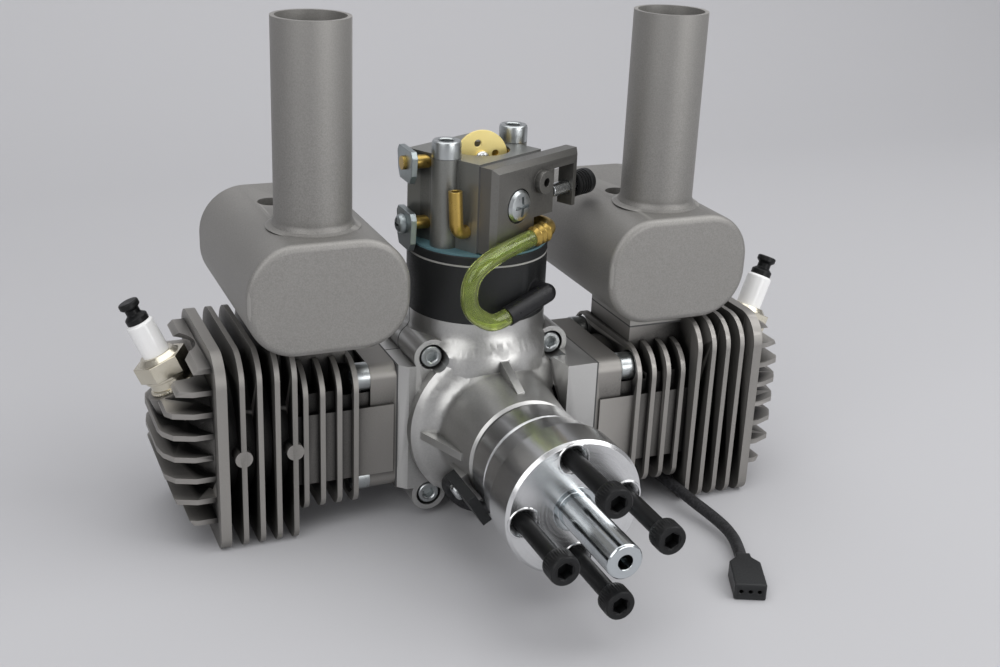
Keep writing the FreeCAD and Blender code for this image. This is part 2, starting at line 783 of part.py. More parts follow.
def prop_hub():
    groove = hub_groove_depth
    rear = hub_rear_radius
    neck = hub_disc_depth
    profile = [
        (hub_seat_radius, 0), (hub_radius - 0.9, 0),
        (hub_radius, 0.9), (hub_radius, neck - 0.6), (hub_radius - 0.6, neck),
        (rear + 1.4, neck + 0.8), (rear + 0.9, neck + 8), (rear + 0.2, neck + 8.6),
        (rear - groove, neck + 9.2), (rear - groove, neck + 10), (rear, neck + 10.4),
        (rear, hub_length - 0.4), (rear - 0.4, hub_length), (nose_radius - 3, hub_length),
        (nose_radius - 3, hub_shoulder_y), (hub_seat_radius, hub_shoulder_y),
    ]
    solid = turned("hub_blank", profile)
    holes = []
    for index, (x, z) in enumerate(prop_bolt_places()):
        depth = prop_bolt_length - prop_bolt_standoff + 1.5
        holes.append(rod("hub_thread_%d" % index, prop_bolt_radius, depth, (x, 0, z), "Y"))
        mouth = [(0, -0.1), (prop_bolt_radius + hub_mouth, -0.1), (prop_bolt_radius, 1.2), (0, 1.2)]
        holes.append(turned("hub_mouth_%d" % index, mouth, (x, 0, z)))
    reach = rear - magnet_radius - 1
    turn_x = reach * cosine(sensor_angle)
    turn_z = reach * sine(sensor_angle)
    magnet_y = hub_length - magnet_length
    holes.append(rod("magnet_pocket", magnet_radius, magnet_length + 2, (turn_x, magnet_y, turn_z), "Y"))
    node("prop_hub", cut("prop_hub", solid, *holes))
    node("hub_magnet", rod("hub_magnet", magnet_radius, magnet_length, (turn_x, magnet_y, turn_z), "Y"))
    bolts = []
    for index, (x, z) in enumerate(prop_bolt_places()):
        at = (x, -prop_bolt_standoff, z)
        bolts.append(cap_screw("prop_bolt_%d" % index, prop_bolt_radius, prop_bolt_length, at, "Y"))
    node("prop_bolts", bundle("prop_bolts", *bolts))


# Pistons, rings, wrist pins, rods and crankpins, drawn at the outer dead centre
def outward(side):
    return "X" if side == RIGHT else "-X"


def piston_set(name, side):
    y = cylinder_y[side]
    axis = outward(side)
    radius = cylinder_bore / 2 - running_gap
    skirt = piston_height
    crown = crown_x
    groove = ring_height + side_gap
    ring_x = crown - ring_drop
    profile = [
        (0, crown), (radius - 0.3, crown), (radius, crown - 0.4),
        (radius, ring_x), (radius - 1.4, ring_x), (radius - 1.4, ring_x - groove),
        (radius, ring_x - groove), (radius, crown - skirt), (radius - 2, crown - skirt),
        (radius - 2, crown - 5), (radius - 4, crown - 3.5), (0, crown - 3.5),
    ]
    blank = turned("piston_blank_" + name, profile, (0, y, 0), axis)
    inner = radius - 1.5
    boss_length = inner - rod_width / 2 - 0.8
    bosses = []
    for index, sign in enumerate((-1, 1)):
        at = (side * wrist_x, y + sign * inner, 0)
        toward = "Y" if sign < 0 else "-Y"
        bosses.append(rod("pin_boss_%s_%d" % (name, index), wrist_pin_radius + 2.2, boss_length,
                          at, toward))
    pin_half = wrist_pin_length / 2
    bore = rod("pin_bore_" + name, wrist_pin_radius, radius * 2 + 2,
               (side * wrist_x, y - radius - 1, 0), "Y")
    node("piston_" + name, cut("piston_" + name, join("piston_body_" + name, blank, *bosses), bore))
    ring_profile = [(radius - 1.4, ring_x - groove), (radius + running_gap / 2, ring_x - groove),
                    (radius + running_gap / 2, ring_x), (radius - 1.4, ring_x)]
    node("piston_ring_" + name, turned("piston_ring_" + name, ring_profile, (0, y, 0), axis))
    pin_profile = [(2.2, -pin_half), (wrist_pin_radius, -pin_half), (wrist_pin_radius, pin_half),
                   (2.2, pin_half)]
    pin = turned("pin_" + name, pin_profile, (side * wrist_x, y, 0))
    clips = []
    for index, sign in enumerate((-1, 1)):
        clip = [(2.6, 0), (wrist_pin_radius, 0), (wrist_pin_radius, 0.8), (2.6, 0.8)]
        station = y + sign * (pin_half + 0.5) - 0.4
        clips.append(turned("pin_clip_%s_%d" % (name, index), clip, (side * wrist_x, station, 0)))
    node("wrist_pin_" + name, bundle("wrist_pin_" + name, pin, *clips))
    pin_x = side * crank_radius
    node("crankpin_" + name, rod("crankpin_" + name, crankpin_radius, rod_width,
                                 (pin_x, y - rod_width / 2, 0), "Y"))
    big = rod("big_end_" + name, big_end_radius, rod_width, (pin_x, y - rod_width / 2, 0), "Y")
    small = rod("small_end_" + name, small_end_radius, rod_width,
                (side * wrist_x, y - rod_width / 2, 0), "Y")
    half = 3.6
    start = crank_radius + big_end_radius - 1.5
    end = wrist_x - small_end_radius + 1.5
    beam_corners = [(start, -half - 1), (end, -half), (end, half), (start, half + 1)]
    turn = Rotation(AXES["X"], -90)
    beam_at = (0, y - 2.5, 0)
    if side == LEFT:
        turn = Rotation(AXES["Z"], 180) * turn
        beam_at = (0, y + 2.5, 0)
    beam = plate("beam_" + name, beam_corners, 5, beam_at, turn)
    big_needle = crankpin_radius + needle_thickness
    small_needle = wrist_pin_radius + 1.1
    forging = cut("forging_" + name, join("rod_blank_" + name, big, small, beam),
                  rod("big_eye_" + name, big_needle, rod_width, (pin_x, y - rod_width / 2, 0), "Y"),
                  rod("small_eye_" + name, small_needle, rod_width,
                      (side * wrist_x, y - rod_width / 2, 0), "Y"))
    cage_half = rod_width / 2
    big_cage = turned("big_cage_" + name,
                      [(crankpin_radius, -cage_half), (big_needle, -cage_half),
                       (big_needle, cage_half), (crankpin_radius, cage_half)], (pin_x, y, 0))
    small_cage = turned("small_cage_" + name,
                        [(wrist_pin_radius, -cage_half), (small_needle, -cage_half),
                         (small_needle, cage_half), (wrist_pin_radius, cage_half)],
                        (side * wrist_x, y, 0))
    node("connecting_rod_" + name, bundle("connecting_rod_" + name, forging, big_cage, small_cage))


# Cylinders with cooling fins, exhaust boss and domed head
def plug_direction(side):
    out = math.radians(plug_lean_out.value)
    back = math.radians(plug_lean_back.value)
    axis = Vector(side * math.tan(out), math.tan(back), 1)
    return axis.normalize()


def plug_seat(side):
    return (side * plug_seat_x, cylinder_y[side], plug_seat_z)


def edges_across(low, high):
    # Accepts the straight edges along X that start between two heights
    along = straight_along("X")

    def test(edge):
        return along(edge) and low <= edge.BoundBox.ZMin <= high
    return test


def fin_plate(name, side, half_y, half_z, start, thickness):
    # Upright plate with wide upper corners and tighter lower ones
    y = cylinder_y[side]
    near = start if side == RIGHT else -(start + thickness)
    far = start + thickness if side == RIGHT else -start
    blank = block(name + "_blank", (near, y - half_y, -half_z), (far, y + half_y, half_z))
    upper = rounded(name + "_upper", blank, fin_top_round, edges_across(0, half_z.value + 1))
    return rounded(name, upper, fin_foot_round, edges_across(-half_z.value - 1, 0))


def cylinder(name, side):
    y = cylinder_y[side]
    axis = outward(side)
    spigot_end = seat_x - spigot_depth
    core_profile = [
        (0, spigot_end), (spigot_radius, spigot_end), (spigot_radius, flange_x + 1),
        (barrel_radius, flange_x + 1), (barrel_radius, fin_first_x - 4),
        (head_core_radius, fin_first_x), (head_core_radius, head_top_x),
        (head_core_radius - 4, head_top_x + 3), (head_core_radius - 10, head_top_x + 6),
        (0, head_top_x + 7),
    ]
    parts = [turned("core_" + name, core_profile, (0, y, 0), axis)]
    flange_low = (side * flange_x, y - seat_half, -seat_half)
    flange_high = (side * (flange_x + flange_thickness), y + seat_half, seat_half)
    if side == LEFT:
        flange_low, flange_high = ((flange_high[0], flange_low[1], flange_low[2]),
                                   (flange_low[0], flange_high[1], flange_high[2]))
    flange = block("flange_blank_" + name, flange_low, flange_high)
    parts.append(rounded("flange_" + name, flange, flange_round, straight_along("X")))
    for index in range(low_fin_count):
        start = flange_x + flange_thickness + low_fin_pitch * (index + 1) - low_fin_thickness / 2
        parts.append(fin_plate("low_fin_%s_%d" % (name, index), side, low_fin_half, low_fin_half,
                               start, low_fin_thickness))
    for index, station in enumerate(fin_stations):
        start = station - fin_thickness / 2
        parts.append(fin_plate("fin_%s_%d" % (name, index), side, fin_half_y, fin_half_z, start,
                               fin_thickness))
    parts.append(fin_plate("head_plate_" + name, side, fin_half_y, fin_half_z, head_plate_x,
                           head_plate_thickness))
    parts.append(head_fins(name, side))
    parts += side_passages(name, side)
    parts += ejector_pads(name, side)
    seat = plug_seat(side)
    lean = plug_direction(side)
    boss_depth = 14
    foot = [seat[0] - lean.x * boss_depth, seat[1] - lean.y * boss_depth,
            seat[2] - lean.z * boss_depth]
    parts.append(rod("plug_boss_" + name, 8.2, boss_depth, foot, lean))
    low_x = side * (muffler_x - exhaust_half_x)
    high_x = side * (muffler_x + exhaust_half_x)
    if side == LEFT:
        low_x, high_x = high_x, low_x
    parts.append(block("exhaust_boss_" + name, (low_x, y - exhaust_half_y, 0),
                       (high_x, y + exhaust_half_y, exhaust_face_z)))
    casting = join("cylinder_casting_" + name, *parts)
    bore = cylinder_bore / 2
    bore_profile = [
        (0, spigot_end - 1), (bore, spigot_end - 1), (bore, deck_x), (bore - 3, deck_x + 1.6),
        (bore - 8, deck_x + chamber_height - 1), (bore - 12, deck_x + chamber_height),
        (0, deck_x + chamber_height),
    ]
    tools = [turned("bore_" + name, bore_profile, (0, y, 0), axis)]
    tools.append(rod("plug_hole_" + name, plug_thread_radius, plug_reach + 6, seat, lean * -1))
    tools.append(rod("plug_pocket_" + name, plug_pocket_radius, 30, seat, lean))
    for index, (screw_y, z) in enumerate(cylinder_screw_places(side)):
        at = (side * (flange_x - 1), screw_y, z)
        tools.append(rod("flange_hole_%s_%d" % (name, index), cylinder_screw_radius + 0.1,
                         flange_thickness + 2, at, axis))
        head_at = (side * (flange_x + flange_thickness), screw_y, z)
        tools.append(rod("flange_spot_%s_%d" % (name, index), cylinder_screw_radius * 1.7 + 0.6,
                         9, head_at, axis))
    tools += exhaust_duct(name, side)
    node("cylinder_" + name, cut("cylinder_" + name, casting, *tools))
    gasket_blank = block("base_blank_" + name,
                         (side * seat_x if side == RIGHT else -flange_x, y - seat_half, -seat_half),
                         (flange_x if side == RIGHT else -seat_x, y + seat_half, seat_half))
    holes = [rod("base_hole_" + name, spigot_radius + 0.1, 3, (side * (seat_x - 1), y, 0), axis)]
    for index, (screw_y, z) in enumerate(cylinder_screw_places(side)):
        at = (side * (seat_x - 1), screw_y, z)
        holes.append(rod("base_screw_%s_%d" % (name, index), cylinder_screw_radius + 0.1, 3,
                         at, axis))
    return cut("base_gasket_" + name, gasket_blank, *holes)


def side_passages(name, side):
    # Transfer passages beside the bore, and the exhaust passage above them
    y = cylinder_y[side]
    near = side * (flange_x + 1)
    far = side * fin_first_x
    if side == LEFT:
        near, far = far, near
    transfer = block("transfer_" + name, (near, y - passage_half_y, -passage_low_z),
                     (far, y + passage_half_y, passage_top_z))
    duct = block("exhaust_passage_" + name, (near, y - duct_half_y, 0),
                 (far, y + duct_half_y, duct_top_z))
    return [transfer, duct]


def ejector_pads(name, side):
    # Round casting pads on the edges of two fins, to the front on the left, to the rear on the right
    pads = []
    front = cylinder_y[side] + side * fin_half_y
    for index, station in enumerate((fin_stations[0], fin_stations[3])):
        pads.append(rod("pad_%s_%d" % (name, index), ejector_pad_radius, fin_pitch,
                        (side * station, front, -ejector_pad_drop),
                        "Y" if side == LEFT else "-Y"))
    return pads


def head_fins(name, side):
    y = cylinder_y[side]
    tip = head_top_x + dome_reach
    half_chord = fin_half_z - 1
    bulge = (half_chord * half_chord + dome_reach * dome_reach) / (dome_reach * 2)
    drum = rod("dome_drum_" + name, bulge, dome_half_y * 2,
               (side * (tip - bulge), y - dome_half_y, 0), "Y")
    low_x = head_plate_x
    corners = [
        (low_x, -dome_half_y), (tip - 9, -dome_half_y), (tip - 3.5, -dome_half_y + 2.2),
        (tip - 1, -dome_half_y + 6), (tip, -dome_half_y + 11), (tip, dome_half_y - 11),
        (tip - 1, dome_half_y - 6), (tip - 3.5, dome_half_y - 2.2), (tip - 9, dome_half_y),
        (low_x, dome_half_y),
    ]
    fins = []
    turn = Rotation() if side == RIGHT else Rotation(AXES["Z"], 180)
    first = dome_fin_rise - dome_fin_pitch * (dome_fin_count - 1) / 2 - dome_fin_thickness / 2
    for index in range(dome_fin_count):
        z = first + dome_fin_pitch * index
        fins.append(plate("dome_fin_%s_%d" % (name, index), corners, dome_fin_thickness,
                          (0, y, z), turn))
    return overlap("dome_fins_" + name, join("dome_stack_" + name, *fins), drum)


def exhaust_duct(name, side):
    y = cylinder_y[side]
    half_x = exhaust_port_x / 2
    half_y = exhaust_port_y / 2
    port_x = crown_x - crank_stroke + 1
    spans = {
        "outlet": (muffler_x - half_x, muffler_x + half_x, 19, exhaust_face_z + 1),
        "inlet": (muffler_x - half_x, port_x + 6, 13, 21),
    }
    margin = exhaust_pocket_gap
    pocket_low = (side * muffler_x - exhaust_half_x - margin, y - exhaust_half_y - margin,
                  exhaust_face_z)
    pocket_high = (side * muffler_x + exhaust_half_x + margin, y + exhaust_half_y + margin,
                   fin_half_z + 1)
    tools = [block("exhaust_pocket_" + name, pocket_low, pocket_high)]
    for label, (low, high, bottom, top) in spans.items():
        if side == LEFT:
            low, high = -high, -low
        tools.append(block("%s_%s" % (label, name), (low, y - half_y, bottom),
                           (high, y + half_y, top)))
    for index, (x, screw_y) in enumerate(exhaust_screw_places(side)):
        at = (x, screw_y, exhaust_face_z + 1)
        tools.append(rod("exhaust_thread_%s_%d" % (name, index), exhaust_screw_radius, 9, at, "-Z"))
    return tools


def exhaust_screw_places(side):
    # The two screws stand on one diagonal of the exhaust flange, the same way on both sides
    x = side * muffler_x
    y = cylinder_y[side]
    return [(x + exhaust_screw_x, y - exhaust_screw_y), (x - exhaust_screw_x, y + exhaust_screw_y)]


def cylinder_screws():
    screws = []
    for name, side in SIDES.items():
        toward = "-X" if side == RIGHT else "X"
        for index, (y, z) in enumerate(cylinder_screw_places(side)):
            at = (side * (flange_x + flange_thickness), y, z)
            screws.append(cap_screw("cylinder_screw_%s_%d" % (name, index),
                                    cylinder_screw_radius, cylinder_screw_length, at, toward))
    node("cylinder_screws", bundle("cylinder_screws", *screws))


# Spark plugs
def hexagon(flats):
    corners = []
    across = as_size(flats) / cosine(30)
    for index in range(6):
        corners.append((across / 2 * cosine(60 * index), across / 2 * sine(60 * index)))
    return corners


def spark_plugs():
    shells = []
    insulators = []
    terminals = []
    collar = plug_collar_height
    top = collar + plug_hex_height
    tip = top + 1.5 + insulator_length
    for name, side in SIDES.items():
        seat = plug_seat(side)
        lean = plug_direction(side)
        thread = plug_thread_radius - 0.02
        shell_profile = [
            (1.8, -plug_reach), (thread, -plug_reach), (thread, 1.2), (6.2, 1.2), (6.2, collar - 1),
            (6.9, collar - 0.8), (6.9, collar + 0.4), (6.9, top), (6.3, top),
            (insulator_radius + 0.9, top + 1.5), (insulator_radius, top + 1.5),
            (insulator_radius, collar), (1.8, collar),
        ]
        shell = turned("plug_core_" + name, shell_profile, seat, lean)
        turn = Rotation(AXES["Z"], lean)
        raised = [as_size(part) for part in seat]
        raised = [raised[0] + lean.x * collar, raised[1] + lean.y * collar,
                  raised[2] + lean.z * collar]
        nut = plate("plug_nut_" + name, hexagon(plug_hex_flats), plug_hex_height, raised, turn)
        bore = rod("plug_nut_bore_" + name, insulator_radius, plug_hex_height, raised, lean)
        washer = turned("plug_washer_" + name, [(thread, 0), (6.6, 0), (6.6, 1.2), (thread, 1.2)],
                        seat, lean)
        shells.append(join("plug_shell_" + name, shell, cut("plug_hex_" + name, nut, bore)))
        shells.append(washer)
        ceramic = [
            (0, -plug_reach + 1.5), (1.8, -plug_reach + 1.5), (1.8, collar), (insulator_radius, collar),
            (insulator_radius, tip - 0.6), (insulator_radius - 0.6, tip), (0, tip),
        ]
        insulators.append(turned("plug_ceramic_" + name, ceramic, seat, lean))
        knob = terminal_radius
        end = tip + terminal_length
        terminal = [
            (0, tip), (knob, tip), (knob, tip + 1.6), (knob - 1.2, tip + 2.6),
            (knob - 1.2, end - 2.4), (knob - 0.3, end - 1.6), (knob - 0.3, end - 0.3),
            (knob - 0.7, end), (0, end),
        ]
        terminals.append(turned("plug_terminal_" + name, terminal, seat, lean))
    node("plug_shells", bundle("plug_shells", *shells))
    node("plug_insulators", bundle("plug_insulators", *insulators))
    node("plug_terminals", bundle("plug_terminals", *terminals))


# Mufflers with their outlet stacks
def muffler(name, side, front_y):
    x = side * muffler_x
    half = muffler_width / 2
    top = muffler_bottom_z + muffler_height
    low = (x - half, front_y, muffler_bottom_z)
    high = (x + half, front_y + muffler_length, top)
    blank = block("muffler_blank_" + name, low, high)
    sides = rounded("muffler_sides_" + name, blank, muffler_side_round, straight_along("Y"))
    ends = (front_y.value, front_y.value + muffler_length.value)
    tests = [in_plane("Y", station) for station in ends]
    shell = rounded("muffler_shell_" + name, sides, muffler_end_round,
                    lambda edge: any(test(edge) for test in tests))
    wall = muffler_wall
    room_blank = block("muffler_room_blank_" + name,
                       (x - half + wall, front_y + wall, muffler_bottom_z + wall),
                       (x + half - wall, front_y + muffler_length - wall, top - wall))
    room = rounded("muffler_room_" + name, room_blank, muffler_side_round - wall,
                   straight_along("Y"))
    stack_y = front_y + stack_setback
    stack_foot = top - wall
    stack = rod("stack_" + name, stack_radius, stack_top_z - stack_foot, (x, stack_y, stack_foot))
    collar = turned("stack_collar_" + name,
                    [(0, 0), (stack_radius + 2.4, 0), (stack_radius + 0.8, 0.7),
                     (stack_radius, 2.4), (0, 2.4)], (x, stack_y, top - 0.05), "Z")
    y = cylinder_y[side]
    foot_z = exhaust_face_z + gasket_gap
    foot_low = (side * muffler_x - exhaust_half_x, y - exhaust_half_y, foot_z)
    foot_high = (side * muffler_x + exhaust_half_x, y + exhaust_half_y, muffler_bottom_z + 1)
    foot = block("muffler_foot_" + name, foot_low, foot_high)
    column_x, column_y = exhaust_screw_places(side)[1]
    access = screw_access_radius
    column = rod("screw_column_" + name, access + 1.4, top - foot_z - 1, (column_x, column_y, foot_z))
    outside = join("muffler_outside_" + name, shell, stack, collar, foot)
    bore_length = stack_top_z - stack_foot + wall * 2
    inside = [
        cut("muffler_hollow_" + name, room, column),
        rod("stack_bore_" + name, stack_radius - stack_wall, bore_length,
            (x, stack_y, stack_foot - wall)),
    ]
    port_low = (side * muffler_x - exhaust_port_x / 2, y - exhaust_port_y / 2, foot_z - 1)
    port_high = (side * muffler_x + exhaust_port_x / 2, y + exhaust_port_y / 2,
                 muffler_bottom_z + wall + 1)
    inside.append(block("muffler_inlet_" + name, port_low, port_high))
    for index, (screw_x, screw_y) in enumerate(exhaust_screw_places(side)):
        inside.append(rod("foot_hole_%s_%d" % (name, index), exhaust_screw_radius + 0.1, 8,
                          (screw_x, screw_y, foot_z - 1)))
    seat_z = muffler_bottom_z + wall
    inside.append(rod("access_" + name, access, top - seat_z + 1, (column_x, column_y, seat_z)))
    node("muffler_" + name, cut("muffler_" + name, outside, *inside))


def exhaust_seals():
    gaskets = []
    screws = []
    for name, side in SIDES.items():
        y = cylinder_y[side]
        low = (side * muffler_x - exhaust_half_x, y - exhaust_half_y, exhaust_face_z)
        high = (side * muffler_x + exhaust_half_x, y + exhaust_half_y, exhaust_face_z + gasket_gap)
        sheet = block("exhaust_sheet_" + name, low, high)
        port_low = (side * muffler_x - exhaust_port_x / 2, y - exhaust_port_y / 2,
                    exhaust_face_z - 1)
        port_high = (side * muffler_x + exhaust_port_x / 2, y + exhaust_port_y / 2,
                     exhaust_face_z + 2)
        holes = [block("exhaust_sheet_port_" + name, port_low, port_high)]
        for index, (x, screw_y) in enumerate(exhaust_screw_places(side)):
            holes.append(rod("exhaust_sheet_hole_%s_%d" % (name, index),
                             exhaust_screw_radius + 0.1, 3, (x, screw_y, exhaust_face_z - 1)))
            at = (x, screw_y, muffler_bottom_z + muffler_wall)
            screws.append(cap_screw("muffler_screw_%s_%d" % (name, index),
                                    exhaust_screw_radius, 12, at, "-Z"))
        gaskets.append(cut("exhaust_gasket_" + name, sheet, *holes))
    node("exhaust_gaskets", bundle("exhaust_gaskets", *gaskets))
    node("muffler_screws", bundle("muffler_screws", *screws))


# Intake path between the crankcase and the carburettor
def carb_bolt_holes(name, start_z, length):
    holes = []
    for index, sign in enumerate((-1, 1)):
        at = carb_point(sign * carb_bolt_offset, 0, start_z)
        holes.append(rod("%s_bolt_%d" % (name, index), carb_bolt_radius + 0.1, length, at))
    return holes


def round_layer(name, radius, bore, start_z, height):
    disc = rod(name + "_disc", radius, height, (0, parting_y, start_z))
    hole = rod(name + "_hole", bore, height + 2, (0, parting_y, start_z - 1))
    return cut(name, disc, hole, *carb_bolt_holes(name, start_z - 1, height + 2))


def intake():
    spacer_blank = rod("spacer_disc", spacer_radius, spacer_height, (0, parting_y, spacer_z))
    boss_turn = pulse_boss_direction()
    boss_foot = (boss_turn.x * (spacer_radius - 3), parting_y + boss_turn.y * (spacer_radius - 3),
                 pulse_port_z)
    boss = rod("spacer_boss", 3.6, 3, boss_foot, boss_turn)
    recess = rod("reed_recess", reed_flange_radius + 0.1, reed_flange_height + 0.1,
                 (0, parting_y, spacer_z))
    bore = rod("spacer_hole", spacer_bore, spacer_height + 2, (0, parting_y, spacer_z - 1))
    port = rod("spacer_port", nipple_radius, 9, boss_foot, boss_turn)
    holes = carb_bolt_holes("spacer", spacer_z - 1, spacer_height + 2)
    node("carb_spacer", cut("carb_spacer", join("spacer_body", spacer_blank, boss), recess, bore,
                            port, *holes))
    node("spacer_gasket", round_layer("spacer_gasket", spacer_radius, spacer_bore,
                                      spacer_gasket_z, gasket_gap))
    node("spacer_plate", round_layer("spacer_plate", spacer_radius, spacer_bore,
                                     spacer_plate_z, spacer_plate_height))
    node("carb_gasket", round_layer("carb_gasket", spacer_radius - 0.4, spacer_bore,
                                    carb_gasket_z, carb_gasket_height))
    reed_valve()
    bolts = []
    for index, sign in enumerate((-1, 1)):
        at = carb_point(sign * carb_bolt_offset, 0, carb_top_z)
        length = carb_top_z - neck_top_z + carb_bolt_grip
        bolts.append(cap_screw("carb_bolt_%d" % index, carb_bolt_radius, length, at, "-Z"))
    bolts.append(cover_screw())
    node("carb_screws", bundle("carb_screws", *bolts))


def reed_valve():
    # Wedge-shaped cage hanging into the crankcase throat, with a petal on each slope
    flange = rod("reed_flange", reed_flange_radius, reed_flange_height, (0, parting_y, spacer_z))
    half = 7.5
    wedge_corners = [(-6.5, 0.5), (-1.2, -reed_depth), (1.2, -reed_depth), (6.5, 0.5)]
    turn = Rotation(AXES["X"], 90)
    wedge_at = (0, parting_y + half, spacer_z)
    wedge = plate("reed_wedge", wedge_corners, half * 2, wedge_at, turn)
    inner_corners = [(-4.6, 4), (-4.6, 1), (-0.3, -reed_depth + 2.2), (0.3, -reed_depth + 2.2),
                     (4.6, 1), (4.6, 4)]
    inner = plate("reed_inner", inner_corners, half * 2 - 3, (0, parting_y + half - 1.5, spacer_z),
                  turn)
    windows = block("reed_windows", (-6.4, parting_y - 4.5, spacer_z - reed_depth + 3),
                    (6.4, parting_y + 4.5, spacer_z - 1.5))
    cage = cut("reed_cage", join("reed_blank", flange, wedge), inner, windows)
    petals = []
    for index, sign in enumerate((-1, 1)):
        slope = [
            (sign * 6.55, 0), (sign * 6.95, 0), (sign * 1.7, -reed_depth + 0.1),
            (sign * 1.3, -reed_depth + 0.1),
        ]
        petals.append(plate("reed_petal_%d" % index, slope, half * 2 - 1,
                            (0, parting_y + half - 0.5, spacer_z), turn))
    node("reed_valve", bundle("reed_valve", cage, *petals))


# Carburettor
def carb_block(name, low, high):
    # Box in the yawed frame: across, along, height
    item = block(name, low, high)
    at = carb_point(low[0], low[1], low[2])
    place(item, at, carb_turn)
    return item


def carburettor():
    body = carb_block("carb_blank", (-carb_left, -carb_front, carb_z),
                      (carb_right, carb_back, carb_top_z))
    columns = []
    for index, sign in enumerate((-1, 1)):
        at = carb_point(sign * carb_bolt_offset, 0, carb_z)
        columns.append(rod("carb_column_%d" % index, carb_column_radius, carb_height, at))
    throat = [
        (0, carb_z - 1), (throttle_plate_radius + bore_gap, carb_z - 1),
        (throttle_plate_radius + bore_gap, throttle_z + 5), (venturi_radius, throttle_z + 9),
        (choke_disc_radius + bore_gap, choke_z - 5.5), (choke_disc_radius + bore_gap, carb_top_z + 1),
        (0, carb_top_z + 1),
    ]
    tools = [turned("carb_throat", throat, (0, parting_y, 0), "Z")]
    tools += carb_bolt_holes("carb", carb_z - 1, carb_height + 2)
    hole = carb_shaft_radius + running_gap
    for label, z in (("choke", choke_z), ("throttle", throttle_z)):
        tools.append(rod(label + "_hole", hole, 60, (-30, parting_y, z), "X"))
    fuel_at = carb_point(-carb_left + 4, fuel_along, fuel_z)
    tools.append(rod("fuel_port", nipple_radius, 8, fuel_at, carb_direction(-1, 0)))
    pulse_at = carb_point(pulse_across, -carb_front + 4, pulse_z)
    tools.append(rod("pulse_port", nipple_radius, 8, pulse_at, carb_direction(0, -1)))
    for index, sign in enumerate((-1, 1)):
        at = carb_point(carb_right - 9, needle_along, needle_z + sign * needle_spacing / 2)
        tools.append(rod("needle_port_%d" % index, needle_radius + running_gap, 12, at,
                         carb_direction(1, 0)))
    screw_at = carb_point(cover_screw_across, -carb_front + 7, cover_screw_z)
    tools.append(rod("cover_thread", 1.5, 9, screw_at, carb_direction(0, -1)))
    node("carb_body", cut("carb_body", join("carb_casting", body, *columns), *tools))
    choke_parts()
    throttle_parts()
    carb_cover()
    carb_fittings()
    mixture_needles()
    idle_stop()


def lever_plate(name, shaft_z, length):
    # Rounded lever plate on the left-hand end of a shaft
    half = lever_width / 2
    corners = [
        (-half, 2.5), (-half + 1.4, 4.2), (half - 1.4, 4.2), (half, 2.5),
        (half - 0.8, -length + 2.5), (half - 2.4, -length), (-half + 2.4, -length),
        (-half + 0.8, -length + 2.5),
    ]
    turn = Rotation(AXES["Z"], 90) * Rotation(AXES["X"], 90)
    at = (-lever_reach - lever_thickness, parting_y, shaft_z)
    return plate(name, corners, lever_thickness, at, turn)


def disc_with_shaft(name, z, radius, upright):
    # A butterfly screwed to the flat of its shaft
    left = lever_reach + lever_thickness + 1
    shaft = rod(name + "_bar", carb_shaft_radius, left + 17, (-left, parting_y, z), "X")
    flat_half = radius + 0.2
    if upright:
        flat = block(name + "_flat", (-flat_half, parting_y - 3, z - 3), (flat_half, parting_y, z + 3))
        disc = rod(name + "_plate", radius, plate_thickness, (0, parting_y - plate_thickness, z), "Y")
    else:
        flat = block(name + "_flat", (-flat_half, parting_y - 3, z), (flat_half, parting_y + 3, z + 3))
        disc = rod(name + "_plate", radius, plate_thickness, (0, parting_y, z))
    return cut(name + "_bar_flat", shaft, flat), disc


def choke_parts():
    bar, disc = disc_with_shaft("choke", choke_z, choke_disc_radius, True)
    holes = []
    for index in range(4):
        angle = 15 + 90 * index
        x = 4.6 * cosine(angle)
        z = choke_z + 4.6 * sine(angle)
        holes.append(rod("choke_vent_%d" % index, 1.1, 4, (x, parting_y - 3, z), "Y"))
    screw_y = parting_y - plate_thickness
    core = butterfly_screw_radius
    screw_bore = rod("choke_screw_bore", core, 6, (0, parting_y - 3, choke_z), "Y")
    node("choke_shaft", cut("choke_shaft", bar, screw_bore,
                            lever_slot("choke_lever_slot", choke_z)))
    screw_profile = [(0, -1.3), (1.4, -1.3), (2.3, -0.5), (2.3, 0), (core, 0), (core, 2.6),
                     (0, 2.6)]
    screw = turned("choke_screw", screw_profile, (0, screw_y, choke_z))
    node("choke_disc", bundle("choke_disc", cut("choke_butterfly", disc, screw_bore, *holes), screw))
    plate_blank = lever_plate("choke_lever_blank", choke_z, choke_lever_length)
    lever_bore = rod("choke_lever_bore", carb_shaft_radius - 0.5, 5,
                     (-lever_reach - 3, parting_y, choke_z), "X")
    node("choke_lever", cut("choke_lever", plate_blank, lever_bore))


def lever_slot(name, z):
    # The shaft end steps down where the lever sits on it
    x = -lever_reach - lever_thickness
    inner = carb_shaft_radius - 0.5
    outer = carb_shaft_radius + 1
    profile = [(inner, 0), (outer, 0), (outer, lever_thickness), (inner, lever_thickness)]
    return turned(name, profile, (x, parting_y, z), "X")


